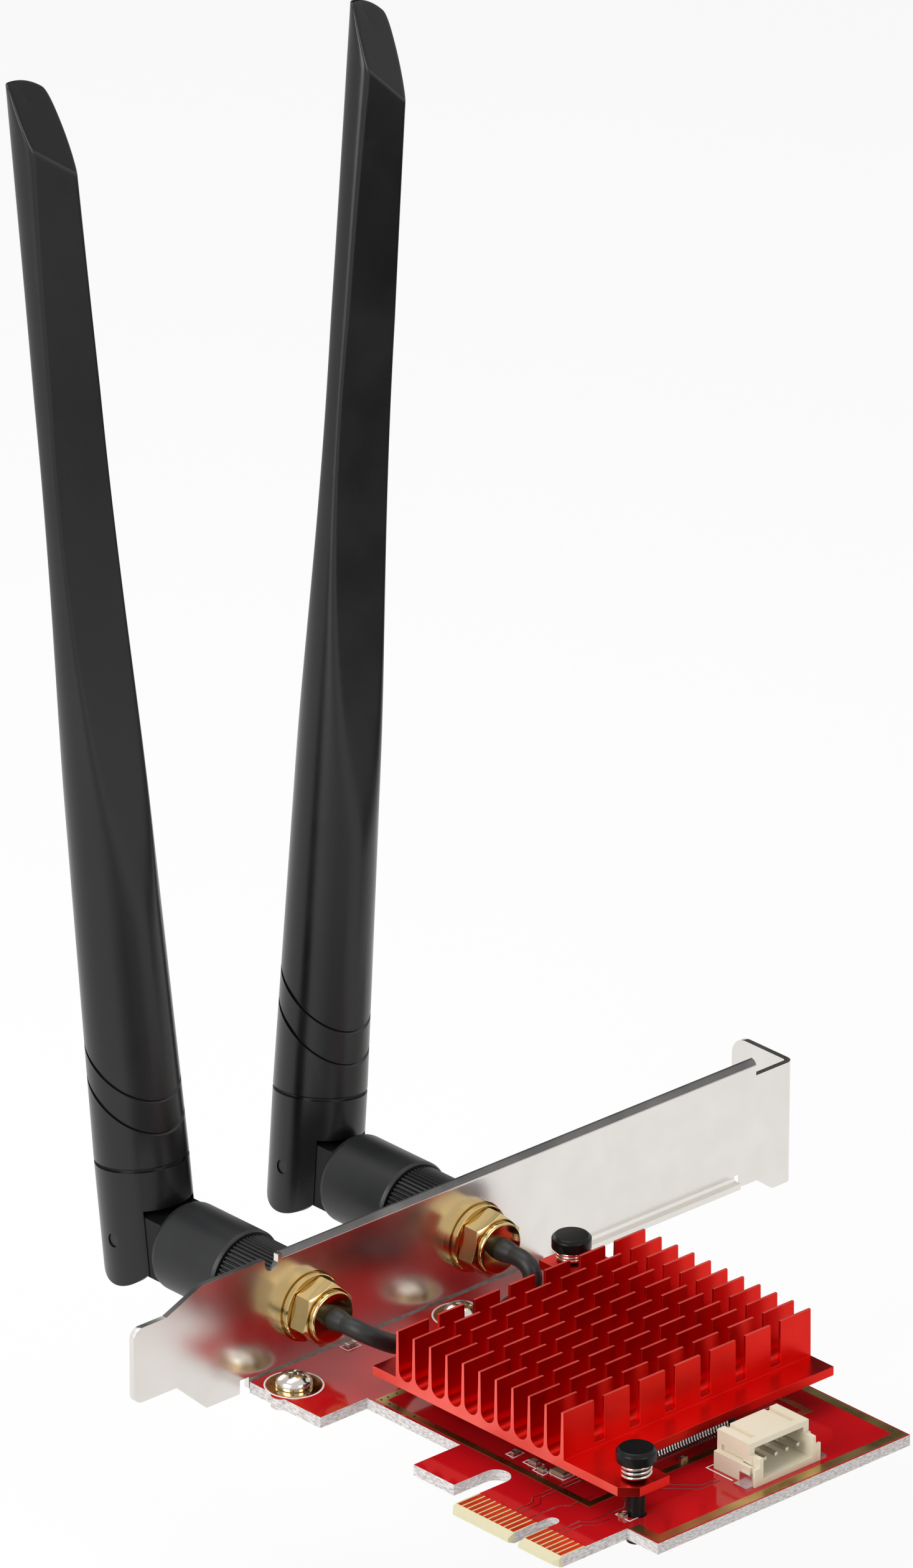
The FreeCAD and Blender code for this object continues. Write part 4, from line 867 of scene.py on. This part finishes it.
sleeve = {
    "pivot": (87.65, 9.0), "lean": {"left": (0.0, -7.4), "right": (8.2, -4.4)}, "around": 96,
    "foot": 10.55, "end": 168.0, "footRadius": 6.45, "endRadius": 4.1, "footRound": 0.12, "footFlare": 0.25,
    "lowFlat": ((47.0, 6.3), (72.0, 3.1), (118.0, 1.65)),
    "highFlat": ((118.0, 1.65), (142.0, 1.9), (168.0, 2.6)), "softness": 0.8,
    "bands": (19.8, 24.4), "bandSlope": 0.72, "bandHalf": 0.277, "bandDeep": 0.32, "bandEdge": 0.07,
    "leanStart": 12.5, "leanGap": 1.0, "leanSteps": 4, "levelLong": 17.0, "levelSteps": 6,
    "plainStart": 44.0, "plainStep": 2.5, "plainCount": 25, "slantStart": 106.0, "slantSteps": 18,
    "tip": 155.9, "tipSlope": (-0.76, 2.6), "tipRound": 0.3, "crown": 161.8, "crownSoftness": 2.4,
    "capShares": (0.8, 0.5, 0.2),
    "bore": ((4.65, 10.55), (4.65, 18.05), (3.0, 18.05), (3.0, 44.05), (1.0, 44.05), (1.0, 136.15)),
}


def arcThrough(points, level):
    # half thickness at a level on the circle through three (level, half) points
    (ax, ay), (bx, by), (cx, cy) = points
    d = 2 * (ax * (by - cy) + bx * (cy - ay) + cx * (ay - by))
    a, b, c = ax * ax + ay * ay, bx * bx + by * by, cx * cx + cy * cy
    ux = (a * (by - cy) + b * (cy - ay) + c * (ay - by)) / d
    uy = (a * (cx - bx) + b * (ax - cx) + c * (bx - ax)) / d
    radius = math.hypot(ax - ux, ay - uy)
    return uy - math.copysign(math.sqrt(max(radius ** 2 - (level - ux) ** 2, 0)), uy - by)


def flatHalf(level):
    start, thin = sleeve["lowFlat"][0], sleeve["lowFlat"][2]
    if level <= start[0]:
        return start[1] + (start[0] - level) * sleeve["footFlare"]
    return arcThrough(sleeve["lowFlat"] if level < thin[0] else sleeve["highFlat"], level)


def softMin(first, second, softness):
    blend = max(softness - abs(first - second), 0) / softness
    return min(first, second) - blend * blend * softness / 4


def sleevePoint(angle, level, slope, inset):
    # a point of the outside on a slanted ring, with its height worked out in a few passes
    x = y = 0.0
    height = level
    for _ in range(4):
        share = (height - sleeve["foot"]) / (sleeve["end"] - sleeve["foot"])
        radius = sleeve["footRadius"] + (sleeve["endRadius"] - sleeve["footRadius"]) * share - inset
        x, y = radius * math.cos(angle), radius * math.sin(angle)
        side = softMin(abs(y), flatHalf(height) - inset, sleeve["softness"])
        y = math.copysign(max(side, 0), y) if abs(y) > 1e-6 else 0.0
        height = level + slope[0] * x + slope[1] * y
        height = softMin(height, sleeve["crown"], sleeve["crownSoftness"])
    return Vector((x, y, height))


def capPoint(angle, share):
    # a point of the cut face, part of the way out to its rim
    rim = sleevePoint(angle, sleeve["tip"], sleeve["tipSlope"], 0)
    height = sleeve["tip"] + share * (sleeve["tipSlope"][0] * rim.x + sleeve["tipSlope"][1] * rim.y)
    return Vector((share * rim.x, share * rim.y, softMin(height, sleeve["crown"], sleeve["crownSoftness"])))


def sleeveRings():
    # (level, slope, inset) of each ring from the foot to the tip
    half, edge, deep, lean = (sleeve[key] for key in ("bandHalf", "bandEdge", "bandDeep", "bandSlope"))
    foot, low, high = sleeve["foot"], *sleeve["bands"]
    rings = [(foot, (0, 0), sleeve["footRound"]), (foot + sleeve["footRound"], (0, 0), 0)]
    start, gap, steps = sleeve["leanStart"], sleeve["leanGap"], sleeve["leanSteps"]
    rings += [(start + (low - start - gap) * i / steps, (0, lean * i / steps), 0)
              for i in range(1, steps + 1)]
    for band in (low, high):
        rings += [(band - half - edge, (0, lean), 0), (band - half, (0, lean), deep),
                  (band + half, (0, lean), deep), (band + half + edge, (0, lean), 0)]
    long, steps = sleeve["levelLong"], sleeve["levelSteps"]
    rings += [(high + gap + long * i / steps, (0, lean * (1 - i / steps)), 0) for i in range(steps + 1)]
    rings += [(sleeve["plainStart"] + sleeve["plainStep"] * i, (0, 0), 0)
              for i in range(sleeve["plainCount"])]
    start, steps = sleeve["slantStart"], sleeve["slantSteps"]
    across, along = sleeve["tipSlope"]
    for i in range(steps + 1):
        share = i / steps
        rings.append((start + (sleeve["tip"] - start) * share, (across * share, along * share), 0))
    return rings


def sleeveMesh(side):
    swivel, fold = (math.radians(value) for value in sleeve["lean"][side])
    pivotY, pivotZ = sleeve["pivot"]
    place = (Matrix.Scale(mm, 4) @ Matrix.Translation((jacks[side], pivotY, pivotZ))
             @ Matrix.Rotation(swivel, 4, "Y") @ Matrix.Rotation(fold, 4, "X"))
    count = sleeve["around"]
    angles = [2 * math.pi * (i + 0.5) / count for i in range(count)]
    work = bmesh.new()
    rows = [[work.verts.new(place @ sleevePoint(a, *ring)) for a in angles] for ring in sleeveRings()]
    inner = [ringVerts(work, place, r, h, angles) for r, h in sleeve["bore"]]
    cap = [[work.verts.new(place @ capPoint(a, share)) for a in angles] for share in sleeve["capShares"]]
    strips = [*zip(rows, rows[1:]), *zip(inner, inner[1:]), (rows[0], inner[0])]
    top = [*zip([rows[-1], *cap], cap)]
    for low, high in strips + top:
        for i in range(count):
            face = work.faces.new((low[i], low[(i + 1) % count], high[(i + 1) % count], high[i]))
            face.material_index = int((low, high) in top)
    work.faces.new(inner[-1])
    work.faces.new(cap[-1]).material_index = 1
    rim = [work.edges.get((rows[-1][i], rows[-1][(i + 1) % count])) for i in range(count)]
    bmesh.ops.recalc_face_normals(work, faces=work.faces)
    bmesh.ops.bevel(work, geom=rim, offset=sleeve["tipRound"] * mm, segments=4, profile=0.5, affect="EDGES",
                    clamp_overlap=True, material=0)
    return closeWork(work, f"{side}Sleeve", 40, "antenna", "cap")


for side in ("left", "right"):
    addPiece(f"{side}Sleeve", sleeveMesh(side), f"{side}_blade", f"{side}_antenna_sleeve")
print("antenna sleeves made")


# side-entry header

header = {
    "left": 32.9, "right": 44.9, "near": -11.2, "far": -3.4, "ground": 0.8, "top": 6.4, "step": 3.4,
    "upperIn": 0.6, "mouthHalf": 4.45, "mouthBack": -4.8, "mouthLow": 1.7, "mouthHigh": 5.55,
    "roofBack": 1.7, "cheek": 4.7, "round": 0.09,
    "grooveOut": 3.6, "grooveHalf": 0.5, "grooveDeep": 0.5, "grooveLong": 4.9,
    "windowDeep": 0.45, "windowNear": 2.9, "windowFar": 0.8, "windowLow": 0.15, "windowHigh": 1.05,
    "nickDeep": 0.3, "nickLong": 1.3, "nickHigh": 0.5,
    "slotOut": 0.3, "slotIn": 0.4, "slotNear": 0.35, "slotFar": 0.95,
}


def headerMesh():
    h = header
    middle = (h["left"] + h["right"]) / 2

    def upper(work):
        block(work, h["left"] + h["upperIn"], h["near"], h["ground"],
              h["right"] - h["upperIn"], h["far"], h["top"])

    def lower(work):
        block(work, h["left"], h["near"], h["ground"], h["right"], h["far"] - 0.01, h["step"])

    def mouth(work):
        block(work, middle - h["mouthHalf"], h["near"] - 1, h["mouthLow"],
              middle + h["mouthHalf"], h["mouthBack"], h["mouthHigh"])

    def roof(work):
        block(work, h["left"] - 1, h["near"] - 1, h["cheek"],
              h["right"] + 1, h["near"] + h["roofBack"], h["top"] + 1)

    def rails(work):
        def slab(first, second, near, low, far, high):
            block(work, min(first, second), near, low, max(first, second), far, high)

        for side in (-1, 1):
            x = middle + side * h["grooveOut"]
            slab(x - h["grooveHalf"], x + h["grooveHalf"], h["far"] - h["grooveLong"],
                 h["top"] - h["grooveDeep"], h["far"] + 1, h["top"] + 1)
            wall = middle + side * (h["right"] - middle - h["upperIn"])
            slab(wall, wall - side * h["windowDeep"], h["near"] + h["windowNear"], h["step"] + h["windowLow"],
                 h["far"] - h["windowFar"], h["step"] + h["windowHigh"])
            slab(wall + side, wall - side * h["nickDeep"], h["near"] - 1, h["step"] + 0.01,
                 h["near"] + h["nickLong"], h["cheek"] + h["nickHigh"])
            slot = middle + side * (h["right"] - middle)
            slab(slot + side * h["slotOut"], slot - side * h["slotIn"], h["near"] + h["slotNear"],
                 h["ground"] - 1, h["near"] + h["slotFar"], h["step"] + 1)

    return carve("headerBody", meshOf("headerUpper", upper), (
        ("UNION", meshOf("headerLower", lower)), ("DIFFERENCE", meshOf("headerMouth", mouth)),
        ("DIFFERENCE", meshOf("headerRoof", roof)), ("DIFFERENCE", meshOf("headerRails", rails)),
    ))


def makeHeader():
    work = bmesh.new()
    work.from_mesh(headerMesh())
    mergeFlats(work)
    roundEdges(work, header["round"] * mm, 2)
    mesh = closeWork(work, "headerBody", 40, "ivory")
    evenNormals(addPiece("headerBody", mesh, "card", "header_shell"))


makeHeader()
print("header made")


# gull-wing leads along the module's socket

leads = {
    "count": 38, "pitch": 0.5, "middle": 33.0, "wide": 0.24 * mm, "thick": 0.15 * mm,
    "bend": [(3.0, 0.88), (3.45, 0.88), (3.62, 0.95), (3.74, 1.2), (3.82, 1.5), (3.94, 1.7), (4.12, 1.78)],
}


def newTree(name, sockets):
    # a geometry tree with a geometry input, the named inputs, and a geometry output
    tree = bpy.data.node_groups.new(name, "GeometryNodeTree")
    tree.interface.new_socket("Geometry", in_out="INPUT", socket_type="NodeSocketGeometry")
    for label, kind in sockets:
        tree.interface.new_socket(label, in_out="INPUT", socket_type=f"NodeSocket{kind}")
    tree.interface.new_socket("Finish", in_out="INPUT", socket_type="NodeSocketMaterial")
    tree.interface.new_socket("Geometry", in_out="OUTPUT", socket_type="NodeSocketGeometry")
    return tree, tree.nodes.new("NodeGroupInput"), tree.nodes.new("NodeGroupOutput")


def paintOut(tree, source, enter, leave):
    real = tree.nodes.new("GeometryNodeRealizeInstances")
    paint = tree.nodes.new("GeometryNodeSetMaterial")
    tree.links.new(source, real.inputs["Geometry"])
    tree.links.new(real.outputs["Geometry"], paint.inputs["Geometry"])
    tree.links.new(enter.outputs["Finish"], paint.inputs["Material"])
    tree.links.new(paint.outputs["Geometry"], leave.inputs["Geometry"])


def stripTree(name, inRow=False):
    # flat strip along each path, once or in a row
    sockets = [("Width", "Float"), ("Thick", "Float")] + [("Count", "Int"), ("Step", "Vector")] * inRow
    tree, enter, leave = newTree(name, sockets)
    path = tree.nodes.new("GeometryNodeMeshToCurve")
    upright = tree.nodes.new("GeometryNodeSetCurveNormal")
    upright.mode = "Z_UP"
    shape = tree.nodes.new("GeometryNodeCurvePrimitiveQuadrilateral")
    sweep = tree.nodes.new("GeometryNodeCurveToMesh")
    sweep.inputs["Fill Caps"].default_value = True
    link = tree.links.new
    link(enter.outputs["Geometry"], path.inputs["Mesh"])
    link(path.outputs["Curve"], upright.inputs["Curve"])
    link(enter.outputs["Width"], shape.inputs["Width"])
    link(enter.outputs["Thick"], shape.inputs["Height"])
    link(upright.outputs["Curve"], sweep.inputs["Curve"])
    link(shape.outputs["Curve"], sweep.inputs["Profile Curve"])
    made = sweep.outputs["Mesh"]
    if inRow:
        row = tree.nodes.new("GeometryNodeMeshLine")
        spread = tree.nodes.new("GeometryNodeInstanceOnPoints")
        link(enter.outputs["Count"], row.inputs["Count"])
        link(enter.outputs["Step"], row.inputs["Offset"])
        link(row.outputs["Mesh"], spread.inputs["Points"])
        link(made, spread.inputs["Instance"])
        made = spread.outputs["Instances"]
    paintOut(tree, made, enter, leave)
    return tree


def makeLeads():
    first = leads["middle"] - (leads["count"] - 1) / 2 * leads["pitch"]
    points = [(first * mm, y * mm, z * mm) for y, z in leads["bend"]]
    mesh = rawMesh("socketLeads", points, [(i, i + 1) for i in range(len(points) - 1)], [])
    piece = runTree("socketLeads", mesh, stripTree("leadRow", True), {
        "Width": leads["wide"], "Thick": leads["thick"], "Count": leads["count"],
        "Step": (leads["pitch"] * mm, 0, 0), "Finish": finishes["tin"],
    })
    carry(piece, "card", "module_socket_leads")


makeLeads()
print("socket leads made")


# printed outlines, bare copper and traces on the board

def pathMesh(name, paths, level):
    points, edges = [], []
    for path, closed in paths:
        start = len(points)
        points += [(x * mm, y * mm, level) for x, y in path]
        edges += [(start + i, start + i + 1) for i in range(len(path) - 1)]
        if closed:
            edges.append((len(points) - 1, start))
    return rawMesh(name, points, edges, [])


def ringPath(x, y, radius, count=48):
    turn = 2 * math.pi / count
    return [(x + radius * math.cos(i * turn), y + radius * math.sin(i * turn)) for i in range(count)]


def boxPath(left, near, right, far):
    return [(left, near), (right, near), (right, far), (left, far)]


marks = {
    "outline": {"width": 0.24 * mm, "thick": 0.03 * mm, "finish": "print", "slot": "white_insulator"},
    "trace": {"width": 0.3 * mm, "thick": 0.02 * mm, "finish": "trace", "slot": "red_board"},
    "outlinePaths": [
        *((ringPath(x, y, 3.95), True) for x, y in screws["places"]),
        ([(32.25, -7.7), (32.25, -2.7), (45.55, -2.7), (45.55, -7.7)], False),
        (boxPath(14.35, -6.9, 15.85, -4.3), True),
        (boxPath(15.4, 16.5, 17.4, 17.9), True),
        (boxPath(15.5, 12.3, 17.1, 14.7), True),
        (boxPath(14.9, 10.2, 16.3, 12.2), True),
        (boxPath(15.9, 7.4, 17.9, 10.6), True),
        (boxPath(47.6, 2.7, 50.2, 4.2), True),
        (boxPath(42.5, 2.7, 44.3, 3.9), True),
        (boxPath(20.2, 54.1, 22.6, 55.7), True),
    ],
    "tracePaths": [
        ([(5.3, 2.5), (10.6, 2.5), (11.6, 1.5), (16.0, 1.5)], False),
        ([(5.3, 4.5), (9.0, 4.5), (10.2, 5.7), (18.0, 5.7)], False),
        ([(5.3, 5.5), (8.6, 5.5), (9.6, 6.5), (18.0, 6.5)], False),
        ([(5.3, -2.5), (9.6, -2.5), (10.6, -3.5), (16.5, -3.5), (19.0, -1.0)], False),
        ([(5.3, -3.5), (9.2, -3.5), (10.4, -4.7), (13.0, -4.7)], False),
        ([(24.0, -3.0), (27.5, -6.5), (31.0, -6.5)], False),
        ([(25.0, -2.4), (28.4, -5.8), (31.0, -5.8)], False),
    ],
}


def layLines(name, paths, look, tree):
    level = boardTop + look["thick"] / 2
    piece = runTree(name, pathMesh(name, paths, level), tree,
                    {"Width": look["width"], "Thick": look["thick"], "Finish": finishes[look["finish"]]})
    carry(piece, "card")


flatLines = stripTree("flatLines")
layLines("boardOutlines", marks["outlinePaths"], marks["outline"], flatLines)
layLines("boardTraces", marks["tracePaths"], marks["trace"], flatLines)

bareStrips = {
    "thick": 0.03, "finish": "bareStrip", "slot": "gold_plate",
    "bars": [
        (12.95, -13.75, 14.7, -8.4), (14.7, -13.75, 58.5, -12.2), (57.1, -12.2, 58.5, 54.0),
        (13.2, 0.7, 14.35, 41.1), (13.2, -0.4, 54.0, 0.7), (14.35, 39.95, 54.0, 41.1),
        (52.9, 0.7, 54.0, 39.95),
    ],
}


def layBars(name, look):
    level = boardTop / mm

    def bars(work):
        for left, near, right, far in look["bars"]:
            block(work, left, near, level, right, far, level + look["thick"])

    mesh = meshOf(name, bars)
    paintMesh(mesh, look["finish"])
    addPiece(name, mesh, "card")


def dotTree():
    tree, enter, leave = newTree("flatDots", [("Radius", "Float"), ("Thick", "Float")])
    disc = tree.nodes.new("GeometryNodeMeshCylinder")
    disc.inputs["Vertices"].default_value = 18
    spread = tree.nodes.new("GeometryNodeInstanceOnPoints")
    link = tree.links.new
    link(enter.outputs["Geometry"], spread.inputs["Points"])
    link(enter.outputs["Radius"], disc.inputs["Radius"])
    link(enter.outputs["Thick"], disc.inputs["Depth"])
    link(disc.outputs["Mesh"], spread.inputs["Instance"])
    paintOut(tree, spread.outputs["Instances"], enter, leave)
    return tree


# near-black flat discs for the via holes, painted shade in place of the holes' depth
dots = {
    "radius": 0.16 * mm, "thick": 0.02 * mm, "level": 0.06 * mm, "finish": "hole", "slot": "gloss_black",
    "padHoles": 8, "padRadius": 3.05,
    "ringHoles": [(13.8, 40.5), (15.0, 40.5), (16.6, 40.5), (13.8, 38.9), (13.8, 37.2), (13.8, 34.0),
                  (13.8, 30.0), (13.8, 24.0), (13.8, 8.0), (13.8, 4.0), (18.0, 0.15), (22.0, 0.15)],
}


def layDots(name, places, look):
    mesh = rawMesh(name, [(x * mm, y * mm, boardTop + look["level"]) for x, y in places], [], [])
    piece = runTree(name, mesh, dotTree(),
                    {"Radius": look["radius"], "Thick": look["thick"], "Finish": finishes[look["finish"]]})
    carry(piece, "card")


holePlaces = list(dots["ringHoles"])
for x, y in screws["places"]:
    holePlaces += ringPath(x, y, dots["padRadius"], dots["padHoles"])
layDots("viaHoles", holePlaces, dots)
layBars("bareStrips", bareStrips)
print("board marks laid")
